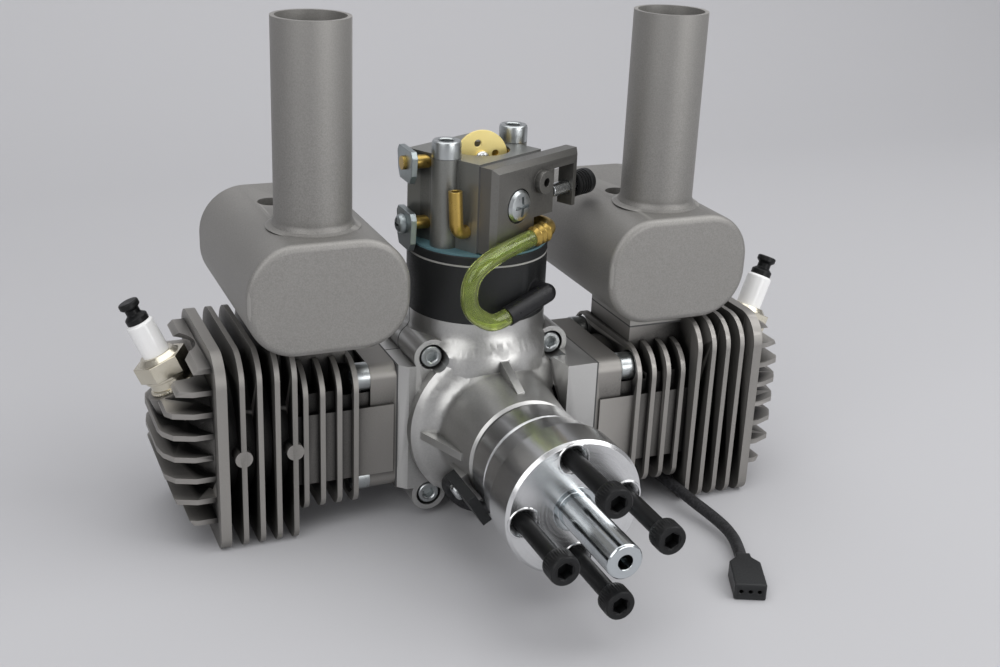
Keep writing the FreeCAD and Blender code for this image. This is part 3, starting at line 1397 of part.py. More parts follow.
def throttle_parts():
    bar, disc = disc_with_shaft("throttle", throttle_z, throttle_plate_radius, False)
    core = butterfly_screw_radius
    screw_bore = rod("throttle_screw_bore", core, 6, (0, parting_y, throttle_z - 3))
    screw_z = throttle_z + plate_thickness
    node("throttle_shaft", cut("throttle_shaft", bar, screw_bore,
                               lever_slot("throttle_lever_slot", throttle_z)))
    screw_profile = [(0, 1.1), (1.4, 1.1), (2.2, 0.4), (2.2, 0), (core, 0), (core, -2.6),
                     (0, -2.6)]
    screw = turned("throttle_screw", screw_profile, (0, parting_y, screw_z), "Z")
    node("throttle_plate", bundle("throttle_plate",
                                  cut("throttle_butterfly", disc, screw_bore), screw))
    plate_blank = lever_plate("throttle_lever_blank", throttle_z, throttle_lever_length)
    lever_bore = rod("throttle_lever_bore", carb_shaft_radius - 0.5, 5,
                     (-lever_reach - 3, parting_y, throttle_z), "X")
    node("throttle_lever", cut("throttle_lever", plate_blank, lever_bore))


def carb_cover():
    front = -carb_front - pump_gasket
    outer = front - cover_thickness
    sheet = carb_block("pump_sheet", (-carb_left, front, carb_z + 0.5),
                       (carb_right - 1.5, -carb_front, carb_top_z - 0.4))
    room_low = (cover_step_x, front - 1, carb_z)
    room_high = (carb_right + 1, -carb_front + 1, carb_z + cover_step_z)
    sheet_room = carb_block("pump_sheet_room", room_low, room_high)
    bolt_hole = rod("pump_sheet_hole", 1.7, 5,
                    carb_point(cover_screw_across, -carb_front + 2, cover_screw_z),
                    carb_direction(0, -1))
    node("pump_gasket", cut("pump_gasket", sheet, sheet_room, bolt_hole))
    bevel = 1.5
    slab = carb_block("cover_slab", (-carb_left, outer, carb_z + 0.5),
                      (cover_reach, front, carb_top_z - 0.4))
    beveled = chamfered("cover_beveled", slab, bevel, outer_edges(slab, carb_direction(0, -1)))
    low_room = carb_block("cover_low_room", (cover_step_x, outer - 1, carb_z),
                          (cover_reach + 1, front + 1, carb_z + cover_step_z))
    arm_room = carb_block("cover_arm_room", (carb_right - 1, outer - 1, carb_z),
                          (cover_reach - 3, front + 1, carb_top_z - 4.5))
    boss_at = carb_point(cover_boss_across, outer + 1, cover_boss_z)
    boss = rod("cover_boss", 3.4, 3, boss_at, carb_direction(0, -1))
    hole_at = carb_point(cover_boss_across, outer - 3, cover_boss_z)
    boss_hole = rod("cover_boss_hole", 1.3, 5, hole_at, carb_direction(0, 1))
    screw_pocket = rod("cover_screw_pocket", 5.1, 2,
                       carb_point(cover_screw_across, outer + 0.8, cover_screw_z),
                       carb_direction(0, -1))
    screw_bore = rod("cover_screw_bore", 1.6, 9,
                     carb_point(cover_screw_across, front + 1, cover_screw_z),
                     carb_direction(0, -1))
    idle_bore = rod("cover_idle_bore", 2.05, 8, carb_point(cover_reach - 5, idle_along, idle_z),
                    carb_direction(1, 0))
    node("pump_cover", cut("pump_cover", join("cover_blank", beveled, boss), low_room, arm_room,
                           boss_hole, screw_pocket, screw_bore, idle_bore))


def cover_screw():
    # Large domed screw that holds the pump cover
    outer = -carb_front - pump_gasket - cover_thickness
    head = [(0, -2.3), (2.4, -2.1), (4, -1.3), (4.7, 0), (1.5, 0), (1.5, 9), (0, 9)]
    at = carb_point(cover_screw_across, outer + 0.8, cover_screw_z)
    return turned("cover_screw", head, at, carb_direction(0, 1))


def outer_edges(item, outward_axis):
    doc.recompute()
    best = max(vertex.Point.dot(outward_axis) for vertex in item.Shape.Vertexes)
    chosen = []
    for index, edge in enumerate(item.Shape.Edges):
        ends = [vertex.Point.dot(outward_axis) for vertex in edge.Vertexes]
        if min(ends) > best - 0.01:
            chosen.append(index + 1)
    return chosen


def chamfered(name, base, width, chosen):
    item = doc.addObject("Part::Chamfer", name)
    item.Base = base
    item.Edges = [(index, width, width) for index in chosen]
    return item


def idle_stop():
    start = carb_right + 1
    bolt = rod("idle_shank", 2, cover_reach - start + idle_spring_length + 1,
               carb_point(start, idle_along, idle_z), carb_direction(1, 0))
    knob_start = cover_reach + idle_spring_length
    knob = turned("idle_knob", [(0, 0), (idle_knob_radius, 0), (idle_knob_radius, idle_knob_length - 1),
                                (idle_knob_radius - 1, idle_knob_length), (0, idle_knob_length)],
                  carb_point(knob_start, idle_along, idle_z), carb_direction(1, 0))
    node("idle_screw", join("idle_screw", bolt, knob))
    coils = 4
    pitch = (idle_spring_length - 0.4) / coils
    profile = [(2.3, 0)]
    for index in range(coils):
        base = pitch * index
        profile += [(3, base), (3.8, base + pitch * 0.3), (3.8, base + pitch * 0.7)]
    profile += [(3, pitch * coils), (2.3, pitch * coils)]
    node("idle_spring", turned("idle_spring", profile,
                               carb_point(cover_reach + 0.2, idle_along, idle_z),
                               carb_direction(1, 0)))


def carb_fittings():
    wall = -carb_left
    out = 3.8
    steps = [(wall + 3, fuel_along, fuel_z), (wall - out, fuel_along, fuel_z),
             (wall - out - 0.4, fuel_along + 0.6, fuel_z + fuel_riser)]
    node("fuel_nipple", pipe("fuel_nipple", steps, nipple_radius, nipple_bore, 0.45))
    out_y = -pulse_out
    steps = [(pulse_across, -carb_front + 3, pulse_z), (pulse_across, out_y, pulse_z),
             (pulse_across - elbow_arm, out_y, pulse_z - elbow_drop)]
    elbow = pipe("elbow_tube", steps, nipple_radius, nipple_bore, 0.45)
    barbs = []
    line = elbow_line()
    for index in range(3):
        reach = elbow_arm - 2.1 * (index + 1)
        at = carb_point(pulse_across - reach, out_y, pulse_z - elbow_drop * reach / elbow_arm)
        barb = [(nipple_bore, 0), (2.6, 0), (2.0, 1.5), (nipple_bore, 1.5)]
        barbs.append(turned("elbow_barb_%d" % index, barb, at, line))
    node("pulse_elbow", join("pulse_elbow", elbow, *barbs))


def elbow_line():
    return (carb_direction(-elbow_arm.value, 0) + Vector(0, 0, -elbow_drop.value)).normalize()


def pipe(name, steps, radius, bore, share):
    points = [Vector(*[part.value for part in carb_point(*step)]) for step in steps]
    path = tangent_path(points, share, None)
    item = doc.addObject("Part::Feature", name)
    item.Shape = swept(path, radius.value).cut(swept(path, bore.value))
    return item


def tangent_path(points, share, report):
    # Straight runs joined by tangent arcs, each as large as its two runs allow
    edges = []
    start = points[0]
    for index in range(1, len(points) - 1):
        corner = points[index]
        before = corner - points[index - 1]
        after = points[index + 1] - corner
        turn = before.getAngle(after)
        trim = share * min(before.Length, after.Length)
        if report is not None:
            report.append(trim / math.tan(turn / 2))
        before.normalize()
        after.normalize()
        enter = corner - before * trim
        leave = corner + after * trim
        middle = (after - before).normalize()
        radius = trim / math.tan(turn / 2)
        centre = corner + middle * (radius / math.cos(turn / 2))
        edges.append(Part.LineSegment(start, enter).toShape())
        edges.append(Part.Arc(enter, centre - middle * radius, leave).toShape())
        start = leave
    edges.append(Part.LineSegment(start, points[-1]).toShape())
    return Part.Wire(edges)


def swept(path, radius):
    first = path.Edges[0]
    start = first.valueAt(first.FirstParameter)
    tangent = first.tangentAt(first.FirstParameter)
    ring = Part.Wire([Part.Circle(start, tangent, radius).toShape()])
    return path.makePipeShell([ring], True, False)


def mixture_needles():
    for index, (label, sign) in enumerate((("low_needle", -1), ("high_needle", 1))):
        at = carb_point(carb_right - 8, needle_along, needle_z + sign * needle_spacing / 2)
        profile = [(0, 0), (needle_radius, 2), (needle_radius, 8.6), (2.4, 8.6), (2.4, 12),
                   (1.9, 12.5), (0, 12.5)]
        node(label, turned(label, profile, at, carb_direction(1, 0)))


# Pulse line between the spacer and the carburettor's pump
def pulse_boss_direction():
    angle = math.radians(-57)
    return Vector(math.cos(angle), math.sin(angle), 0)


def pulse_line():
    out = pulse_boss_direction()
    spacer = spacer_radius.value
    root = Vector(0, parting_y.value, pulse_port_z.value)
    corner = root + out * (spacer + pulse_stem_length.value)
    tail = Vector(-14.5, -4.6, -4.4).normalize()
    end = corner + tail * pulse_arm_length.value
    outer = tube_radius + 0.4
    stem = rod("pulse_stem", outer, pulse_stem_length, root + out * spacer, out)
    arm = rod("pulse_arm", outer, pulse_arm_length, corner, tail)
    knee = doc.addObject("Part::Sphere", "pulse_knee")
    bind(knee, "Radius", outer)
    place(knee, corner, Rotation())
    stem_bore = rod("pulse_stem_bore", nipple_bore, pulse_stem_length, root + out * spacer, out)
    arm_bore = rod("pulse_arm_bore", nipple_bore, pulse_arm_length + 1, corner, tail)
    node("pulse_nipple", cut("pulse_nipple", join("pulse_fitting", stem, arm, knee),
                             stem_bore, arm_bore))
    entry = carb_point(pulse_across - elbow_arm, -pulse_out, pulse_z - elbow_drop)
    start = Vector(*[part.value for part in entry])
    axis = elbow_line()
    points = [start + axis * 0.1, start + axis * 7, Vector(-7.2, 47.1, 55.7),
              Vector(-12.9, 46.0, 51.6), Vector(-14.0, 46.1, 45.0), Vector(-12.3, 46.4, 40.0),
              Vector(-7.0, 47.1, 36.4), end + tail * 3.4, end + tail * 0.1]
    report = []
    route = tangent_path(points, 0.45, report)
    tube = doc.addObject("Part::Feature", "pulse_tube")
    tube.Shape = swept(route, tube_radius.value).cut(swept(route, tube_bore.value))
    node("pulse_tube", tube)
    print("pulse tube radii", [round(radius, 1) for radius in report], "length",
          round(route.Length, 1))


# Ignition pick-up, its cable and plug
def ignition():
    low = (nose_radius + 1.5, nose_front_y - 8, -sensor_width / 2)
    high = (nose_radius + 1.5 + sensor_thickness, nose_front_y - 8 + sensor_length,
            sensor_width / 2)
    body = block("sensor_block", low, high)
    screw_y = nose_front_y + 6
    bore = rod("sensor_bore", 1.6, 20, (nose_radius - 2, screw_y, 0), "X")
    turn = Rotation(AXES["Y"], -sensor_angle.value)
    node("hall_sensor", moved("hall_sensor", cut("sensor_drilled", body, bore), turn=turn))
    cable_route()


def cable_points():
    # Hand-set route of the pick-up lead, from the pick-up to its plug
    return [
        Vector(-17.4, 42.3, -10.9), Vector(-17.3, 46.8, -11.4), Vector(-16.9, 51.2, -14.8),
        Vector(-14.4, 53.2, -20.0), Vector(-9.6, 53.6, -24.6), Vector(-3.0, 53.7, -27.2),
        Vector(4.5, 53.9, -28.0), Vector(13.5, 54.8, -27.8), Vector(22.0, 57.0, -27.0),
        Vector(29.5, 60.2, -26.0), Vector(37.5, 64.0, -25.2), Vector(46.5, 65.0, -24.9),
        Vector(53.6, 60.6, -24.8), Vector(57.0, 52.8, -24.8), Vector(57.9, 44.0, -25.0),
        Vector(58.8, 35.0, -25.6), Vector(60.6, 26.0, -26.4), Vector(61.4, 17.5, -27.0),
        Vector(59.6, 9.2, -27.3), Vector(56.2, 1.6, -27.4),
    ]


def cable_route():
    points = cable_points()
    report = []
    path = tangent_path(points, 0.45, report)
    cord = doc.addObject("Part::Feature", "sensor_cable")
    cord.Shape = swept(path, cable_radius.value)
    node("sensor_cable", cord)
    ideal = math.pi * cable_radius.value ** 2 * path.Length
    print("sensor cable radii", [round(radius, 1) for radius in report])
    print("sensor cable length", round(path.Length, 1), "volume share",
          round(cord.Shape.Volume / ideal, 4))
    end = points[-1]
    heading = (points[-1] - points[-2]).normalize()
    flat = Vector(heading.x, heading.y, 0).normalize()
    half = sensor_plug_width / 2
    corners = [
        (-2.2, 0.1), (2.2, 0.1), (2.2, 2.2), (half, 5), (half, sensor_plug_length),
        (-half, sensor_plug_length), (-half, 5), (-2.2, 2.2),
    ]
    yaw = math.degrees(math.atan2(flat.y, flat.x)) - 90
    at = (end.x, end.y, -fin_half_z + 0.1)
    body = plate("plug_housing", corners, sensor_plug_height, at, Rotation(AXES["Z"], yaw))
    slots = []
    for index in range(3):
        across = -2.54 + 2.54 * index
        slot = block("plug_slot_%d" % index, (across - 0.5, sensor_plug_length - 5, 2),
                     (across + 0.5, sensor_plug_length + 1, 3))
        slots.append(moved("plug_slot_turned_%d" % index, slot, at, Rotation(AXES["Z"], yaw)))
    node("sensor_plug", cut("sensor_plug", body, *slots))


# Build every sub-part
crankcase()
bearings()
crankshaft()
prop_hub()
gaskets = []
for side_name, side_sign in SIDES.items():
    piston_set(side_name, side_sign)
    gaskets.append(cylinder(side_name, side_sign))
node("base_gaskets", bundle("base_gaskets", *gaskets))
cylinder_screws()
spark_plugs()
muffler("left", LEFT, muffler_front_left)
muffler("right", RIGHT, muffler_front_right)
exhaust_seals()
intake()
carburettor()
pulse_line()
ignition()
doc.recompute()

# Check the whole document, then write one file per sub-part
faults = []
for item in doc.Objects:
    if "Invalid" in item.State or "Error" in item.State:
        faults.append("%s state %s" % (item.Name, item.State))
for name, item in nodes.items():
    if item.Shape.isNull() or not item.Shape.isValid() or not item.Shape.Solids:
        faults.append("%s has no valid solid" % name)
if faults:
    raise RuntimeError("; ".join(faults[:20]))
os.makedirs("parts", exist_ok=True)
for name, item in nodes.items():
    item.Shape.exportStep("parts/%s.step" % name)
    print(name, len(item.Shape.Solids), round(item.Shape.Volume, 1))
print("nodes", len(nodes))
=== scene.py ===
import json
import math

import bmesh
import bpy
from mathutils import Matrix, Vector


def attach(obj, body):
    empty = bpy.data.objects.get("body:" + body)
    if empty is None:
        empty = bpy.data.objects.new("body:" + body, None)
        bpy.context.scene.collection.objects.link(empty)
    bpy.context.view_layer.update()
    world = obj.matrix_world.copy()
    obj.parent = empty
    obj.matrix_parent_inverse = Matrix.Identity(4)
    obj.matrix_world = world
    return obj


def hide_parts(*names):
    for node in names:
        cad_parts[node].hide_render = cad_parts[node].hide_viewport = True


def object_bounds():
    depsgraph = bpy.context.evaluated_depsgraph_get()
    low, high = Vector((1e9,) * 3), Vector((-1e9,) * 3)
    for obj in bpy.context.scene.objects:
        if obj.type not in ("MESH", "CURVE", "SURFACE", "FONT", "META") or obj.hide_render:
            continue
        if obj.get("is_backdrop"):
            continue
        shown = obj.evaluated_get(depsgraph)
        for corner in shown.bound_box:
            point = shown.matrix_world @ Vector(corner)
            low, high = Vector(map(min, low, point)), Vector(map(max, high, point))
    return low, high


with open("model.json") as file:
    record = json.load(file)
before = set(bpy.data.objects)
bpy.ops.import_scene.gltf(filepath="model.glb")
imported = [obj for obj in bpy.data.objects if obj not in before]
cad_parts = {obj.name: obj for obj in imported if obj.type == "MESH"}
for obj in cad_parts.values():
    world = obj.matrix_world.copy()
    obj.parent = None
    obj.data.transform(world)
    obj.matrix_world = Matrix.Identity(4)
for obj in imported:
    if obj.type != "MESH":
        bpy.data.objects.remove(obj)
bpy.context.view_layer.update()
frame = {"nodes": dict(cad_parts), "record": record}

MM = 0.001
PHOTO_WIDTH_PX = 1000
KEEP_EDGES = math.radians(32)
SAME_PLANE = math.radians(0.6)
BEVEL_STEPS = 2
M4, M5 = 2.0, 2.5  # screw radii in mm

# What several added pieces share, in mm: the side of each cylinder and the Y of its axis, the
# carburettor's own sideways direction (it stands turned about Z), and the circle of the hub's
# bolts with the angle of the first
CYLINDERS = ((-1, 82.5), (1, 66.5))
CARB_X, CARB_Y = 0.8854, 0.4648
BOLT_CIRCLE = 15
FIRST_BOLT_DEGREES = 5.8


def new_object(name, data):
    item = bpy.data.objects.new(name, data)
    bpy.context.scene.collection.objects.link(item)
    return item


# Camera, found from the circles, screws and edges seen in the photograph
def photo_camera():
    focal_px = 1364.6348
    azimuth, elevation, roll = -0.4155, 0.3755, 0.0433
    place = Vector((-0.1498135, -0.2848748, 0.1758784))
    right = Vector((math.cos(azimuth), math.sin(azimuth), 0))
    back = Vector((math.sin(azimuth) * math.cos(elevation),
                   -math.cos(azimuth) * math.cos(elevation), math.sin(elevation)))
    up = back.cross(right)
    tilted_right = right * math.cos(roll) + up * math.sin(roll)
    tilted_up = up * math.cos(roll) - right * math.sin(roll)
    data = bpy.data.cameras.new("photo_camera")
    data.sensor_width = 36
    data.lens = focal_px * data.sensor_width / PHOTO_WIDTH_PX
    data.clip_start = 0.01
    camera = new_object("photo_camera", data)
    turn = Matrix((tilted_right, tilted_up, back)).transposed()
    camera.matrix_world = Matrix.Translation(place) @ turn.to_4x4()
    bpy.context.scene.camera = camera


photo_camera()


# Small toolbox for procedural finishes
class Finish:
    def __init__(self, name, colour, metallic, roughness):
        self.material = bpy.data.materials.new(name)
        self.material.use_nodes = True
        self.tree = self.material.node_tree
        self.skin = self.tree.nodes["Principled BSDF"]
        self.skin.inputs["Base Color"].default_value = (*colour, 1)
        self.skin.inputs["Metallic"].default_value = metallic
        self.skin.inputs["Roughness"].default_value = roughness
        self.place = self.node("ShaderNodeTexCoord").outputs["Object"]

    def node(self, kind, **settings):
        made = self.tree.nodes.new(kind)
        for key, value in settings.items():
            setattr(made, key, value)
        return made

    def link(self, source, target):
        self.tree.links.new(source, target)

    def grain(self, per_mm, detail=3.0, roughness=0.55, stretch=None):
        texture = self.node("ShaderNodeTexNoise")
        texture.inputs["Scale"].default_value = per_mm / MM
        texture.inputs["Detail"].default_value = detail
        texture.inputs["Roughness"].default_value = roughness
        source = self.place
        if stretch:
            scaled = self.node("ShaderNodeVectorMath", operation="MULTIPLY")
            self.link(self.place, scaled.inputs[0])
            scaled.inputs[1].default_value = stretch
            source = scaled.outputs["Vector"]
        self.link(source, texture.inputs["Vector"])
        return texture.outputs["Fac"]

    def rings(self, per_mm):
        # Lathe marks: a noise that depends only on the distance from the Y axis
        flat = self.node("ShaderNodeVectorMath", operation="MULTIPLY")
        self.link(self.place, flat.inputs[0])
        flat.inputs[1].default_value = (1, 0, 1)
        away = self.node("ShaderNodeVectorMath", operation="LENGTH")
        self.link(flat.outputs["Vector"], away.inputs[0])
        texture = self.node("ShaderNodeTexNoise", noise_dimensions="1D")
        texture.inputs["Scale"].default_value = per_mm / MM
        texture.inputs["Detail"].default_value = 2
        self.link(away.outputs["Value"], texture.inputs["W"])
        return texture.outputs["Fac"]

    def spread(self, source, low, high, from_low=0.3, from_high=0.7):
        ranged = self.node("ShaderNodeMapRange")
        self.link(source, ranged.inputs["Value"])
        ranged.inputs["From Min"].default_value = from_low
        ranged.inputs["From Max"].default_value = from_high
        ranged.inputs["To Min"].default_value = low
        ranged.inputs["To Max"].default_value = high
        return ranged.outputs["Result"]

    def blend(self, source, first, second):
        mix = self.node("ShaderNodeMix", data_type="RGBA")
        self.link(source, mix.inputs["Factor"])
        for socket, colour in ((mix.inputs["A"], first), (mix.inputs["B"], second)):
            if isinstance(colour, bpy.types.NodeSocket):
                self.link(colour, socket)
            else:
                socket.default_value = (*colour, 1)
        return mix.outputs["Result"]

    def edges(self):
        sharpness = self.node("ShaderNodeNewGeometry").outputs["Pointiness"]
        return self.spread(sharpness, 0, 1, from_low=0.5, from_high=0.58)

    def hollows(self, reach_mm, deep, open_air):
        # Painted shade: the mask is 1 where ambient occlusion finds a hollow and 0 in open air
        shade = self.node("ShaderNodeAmbientOcclusion", samples=8)
        shade.inputs["Distance"].default_value = reach_mm * MM
        return self.spread(shade.outputs["AO"], 1, 0, deep, open_air)

    def colour(self, source):
        self.link(source, self.skin.inputs["Base Color"])

    def rough(self, source):
        self.link(source, self.skin.inputs["Roughness"])

    def bump(self, source, height_mm):
        bump = self.node("ShaderNodeBump")
        bump.inputs["Strength"].default_value = 1.0
        bump.inputs["Distance"].default_value = height_mm * MM
        self.link(source, bump.inputs["Height"])
        previous = self.skin.inputs["Normal"].links
        if previous:
            self.link(previous[0].from_socket, bump.inputs["Normal"])
        self.link(bump.outputs["Normal"], self.skin.inputs["Normal"])


def toned(colour, factor, lift=0.0):
    return [min(1, part * factor + lift) for part in colour]


def cast_metal(name, colour, dark, roughness, grain_per_mm, grain_height, metallic, speckle,
               ripple=0.0, wear_and_highlight=1.35, reach=6, deep=0.25, open_air=0.85):
    # Grained metal, with painted shade in its hollows and its edges lighter by a factor that is
    # partly wear and partly a painted highlight. Ripple is the height in mm of slow waves in its
    # surface.
    finish = Finish(name, colour, metallic, roughness)
    cloudy = finish.grain(0.05, 4)
    fine = finish.grain(grain_per_mm, 4, 0.65)
    low = toned(colour, 1 - speckle)
    high = toned(colour, 1 + speckle)
    grained = finish.blend(finish.spread(fine, 0, 1, 0.35, 0.65), low, high)
    mottled = finish.blend(finish.spread(cloudy, 0, 0.25), grained, low)
    # Painted shade: the colour goes towards the given shade colour where the hollow mask is 1
    painted_shade = finish.blend(finish.hollows(reach, deep, open_air), mottled, dark)
    # Edges lighter: partly wear, partly a painted highlight
    finish.colour(finish.blend(finish.edges(), painted_shade, toned(colour, wear_and_highlight)))
    finish.rough(finish.spread(fine, roughness - 0.04, roughness + 0.08))
    finish.bump(finish.grain(grain_per_mm, 1), grain_height)
    if ripple:
        finish.bump(finish.grain(0.35, 2), ripple)
    return finish.material


def turned_metal(name, colour, roughness):
    finish = Finish(name, colour, 1.0, roughness)
    rings = finish.rings(1.6)
    haze = finish.grain(0.15, 3)
    tone = finish.blend(finish.spread(haze, 0, 1), toned(colour, 0.9), colour)
    finish.colour(finish.blend(finish.spread(rings, 0, 0.2), tone, toned(colour, 0.85)))
    finish.rough(finish.spread(rings, roughness * 0.92, roughness * 1.12))
    return finish.material


def plated(name, colour, tint, roughness, metallic=1.0):
    finish = Finish(name, colour, metallic, roughness)
    cloud = finish.grain(0.12, 3)
    fine = finish.grain(1.2, 2)
    finish.colour(finish.blend(finish.spread(cloud, 0, 0.6, 0.35, 0.7), colour, tint))
    finish.rough(finish.spread(fine, roughness * 0.9, roughness * 1.15))
    return finish.material


def moulded(name, colour, roughness, grain_per_mm=1.5, height=0.01, dusty=1.6, shine=0.5):
    finish = Finish(name, colour, 0.0, roughness)
    patches = finish.grain(0.12, 4)
    fine = finish.grain(grain_per_mm, 3)
    tone = finish.blend(finish.spread(patches, 0, 1), colour, toned(colour, dusty))
    finish.colour(finish.blend(finish.edges(), tone, toned(colour, 2, 0.01)))
    finish.rough(finish.spread(fine, roughness - 0.08, roughness + 0.1))
    finish.bump(fine, height)
    finish.skin.inputs["Specular IOR Level"].default_value = shine
    return finish.material


def fuel_tubing(name, colour):
    # Clear green tubing: light passes its wall and shows the bore
    finish = Finish(name, colour, 0.0, 0.07)
    cloud = finish.grain(0.3, 2)
    finish.colour(finish.blend(finish.spread(cloud, 0, 1), toned(colour, 0.75), colour))
    finish.skin.inputs["Transmission Weight"].default_value = 0.9
    finish.skin.inputs["IOR"].default_value = 1.42
    return finish.material


def braided(name, colour):
    # Woven sleeve: fine threads drawn out along Z
    finish = Finish(name, colour, 0.0, 0.62)
    threads = finish.grain(1.6, 2, 0.5, stretch=(1, 1, 0.45))
    finish.colour(finish.blend(finish.spread(threads, 0, 1, 0.4, 0.6), colour,
                               toned(colour, 2.6, 0.006)))
    finish.bump(threads, 0.12)
    return finish.material


# One finish for each material slot
finishes = {
    # Each cast_metal finish gives its colour, then the colour of the painted shade in its hollows;
    # its edges get a painted highlight mixed with wear
    "cast_aluminium": cast_metal(
        "cast_aluminium", (0.46, 0.458, 0.447), (0.18, 0.177, 0.172), roughness=0.33,
        grain_per_mm=1.6, grain_height=0.008, metallic=0.86, speckle=0.07, ripple=0.008),
    # Strong painted shade between the fins and a strong painted highlight on their edges
    "cylinder_casting": cast_metal(
        "cylinder_casting", (0.205, 0.197, 0.186), (0.014, 0.0135, 0.013), roughness=0.50,
        grain_per_mm=2.4, grain_height=0.012, metallic=0.75, speckle=0.16, wear_and_highlight=2.1,
        reach=10, deep=0.42, open_air=0.97),
    "blasted_aluminium": cast_metal(
        "blasted_aluminium", (0.275, 0.268, 0.255), (0.12, 0.116, 0.11), roughness=0.52,
        grain_per_mm=2.6, grain_height=0.016, metallic=0.7, speckle=0.17),
    "turned_aluminium": turned_metal("turned_aluminium", (0.80, 0.805, 0.81), 0.24),
    "zinc_steel": plated("zinc_steel", (0.62, 0.64, 0.66), (0.52, 0.54, 0.53), 0.26),
    "bearing_steel": plated("bearing_steel", (0.66, 0.66, 0.67), (0.58, 0.58, 0.58), 0.18),
    "nickel_steel": plated("nickel_steel", (0.72, 0.68, 0.57), (0.62, 0.57, 0.45), 0.22),
    "black_oxide": moulded(
        "black_oxide", (0.004, 0.0042, 0.0045), 0.36, grain_per_mm=1.0, height=0.002,
        dusty=1.5, shine=0.2),
    "brass": plated("brass", (0.52, 0.36, 0.10), (0.42, 0.28, 0.07), 0.30, metallic=0.9),
    "carb_zinc": cast_metal(
        "carb_zinc", (0.20, 0.203, 0.192), (0.07, 0.07, 0.067), roughness=0.36,
        grain_per_mm=2.4, grain_height=0.014, metallic=0.8, speckle=0.2),
    "ceramic": moulded(
        "ceramic", (0.80, 0.80, 0.79), 0.12, grain_per_mm=0.5, height=0.002, dusty=1.03),
    "black_plastic": moulded(
        "black_plastic", (0.007, 0.0075, 0.008), 0.46, grain_per_mm=1.8, height=0.008,
        dusty=1.4, shine=0.3),
    "paper_gasket": moulded(
        "paper_gasket", (0.17, 0.168, 0.16), 0.7, grain_per_mm=2.5, height=0.02, dusty=1.1),
    "blue_gasket": moulded(
        "blue_gasket", (0.045, 0.095, 0.11), 0.6, grain_per_mm=2.5, height=0.02, dusty=1.3),
    "black_rubber": braided("black_rubber", (0.007, 0.007, 0.008)),
    "green_tube": fuel_tubing("green_tube", (0.78, 0.90, 0.30)),
}

# Finishes of single pieces that look unlike the rest of their slot
# Its second colour is the painted shade in its hollows; its edges get a painted highlight mixed
# with wear
cover_casting = cast_metal(
    "cover_casting", (0.15, 0.147, 0.138), (0.07, 0.068, 0.064), roughness=0.40,
    grain_per_mm=2.0, grain_height=0.018, metallic=0.8, speckle=0.16)
# Gold of the choke disc, lightened to a painted reflection of the lamps
gold_with_painted_reflection = plated("gold_with_painted_reflection", (0.96, 0.80, 0.33), (0.90, 0.72, 0.26), 0.34, metallic=0.3)
screw_zinc = plated("screw_zinc", (0.50, 0.525, 0.53), (0.44, 0.465, 0.465), 0.30)
lever_zinc = plated("lever_zinc", (0.36, 0.40, 0.41), (0.30, 0.335, 0.34), 0.36)
glossy_black = moulded(
    "glossy_black", (0.005, 0.005, 0.006), 0.34, grain_per_mm=1.0, height=0.002, dusty=1.5,
    shine=0.3)
polished_zinc = turned_metal("polished_zinc", (0.62, 0.66, 0.68), 0.16)
gasket_line = moulded("gasket_line", (0.03, 0.03, 0.03), 0.6)
slots = {entry["node"]: entry["material_slot"] for entry in frame["record"]["subparts"]}


# Meshes and pieces
def plain_mesh(shape, name):
    mesh = bpy.data.meshes.new(name)
    shape.to_mesh(mesh)
    shape.free()
    return mesh


def outward_mesh(shape, name):
    bmesh.ops.recalc_face_normals(shape, faces=shape.faces)
    return plain_mesh(shape, name)


def smooth_mesh(shape, name):
    for face in shape.faces:
        face.smooth = True
    return plain_mesh(shape, name)


def evaluated_mesh(item):
    bpy.context.view_layer.update()
    graph = bpy.context.evaluated_depsgraph_get()
    return bpy.data.meshes.new_from_object(item.evaluated_get(graph))


def add_piece(name, mesh, body, slot, finish=None, replaced=()):
    piece = new_object(name, mesh)
    mesh.materials.clear()
    mesh.materials.append(finish or finishes[slot])
    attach(piece, body)
    if replaced:
        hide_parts(*replaced)
    return piece


def body_of_node(node):
    for body, members in frame["record"]["behaviour"]["bodies"].items():
        if node in members:
            return body


def dressed(node, round_mm=0.0, finish=None):
    # The node's own shape with its flat faces joined and its edges softened
    shape = bmesh.new()
    shape.from_mesh(frame["nodes"][node].data)
    bmesh.ops.remove_doubles(shape, verts=shape.verts, dist=1e-6)
    bmesh.ops.dissolve_limit(shape, angle_limit=SAME_PLANE, use_dissolve_boundaries=False,
                             verts=shape.verts, edges=shape.edges)
    mesh = smooth_mesh(shape, node + "_skin")
    mesh.set_sharp_from_angle(angle=KEEP_EDGES)
    piece = add_piece(node + "_skin", mesh, body_of_node(node), slots[node], finish, [node])
    if round_mm:
        bevel = piece.modifiers.new("soft_edges", "BEVEL")
        bevel.width = round_mm * MM
        bevel.segments = BEVEL_STEPS
        bevel.limit_method = "ANGLE"
        bevel.angle_limit = KEEP_EDGES
        bevel.miter_outer = "MITER_ARC"
    even = piece.modifiers.new("even_normals", "WEIGHTED_NORMAL")
    even.keep_sharp = True
    return piece


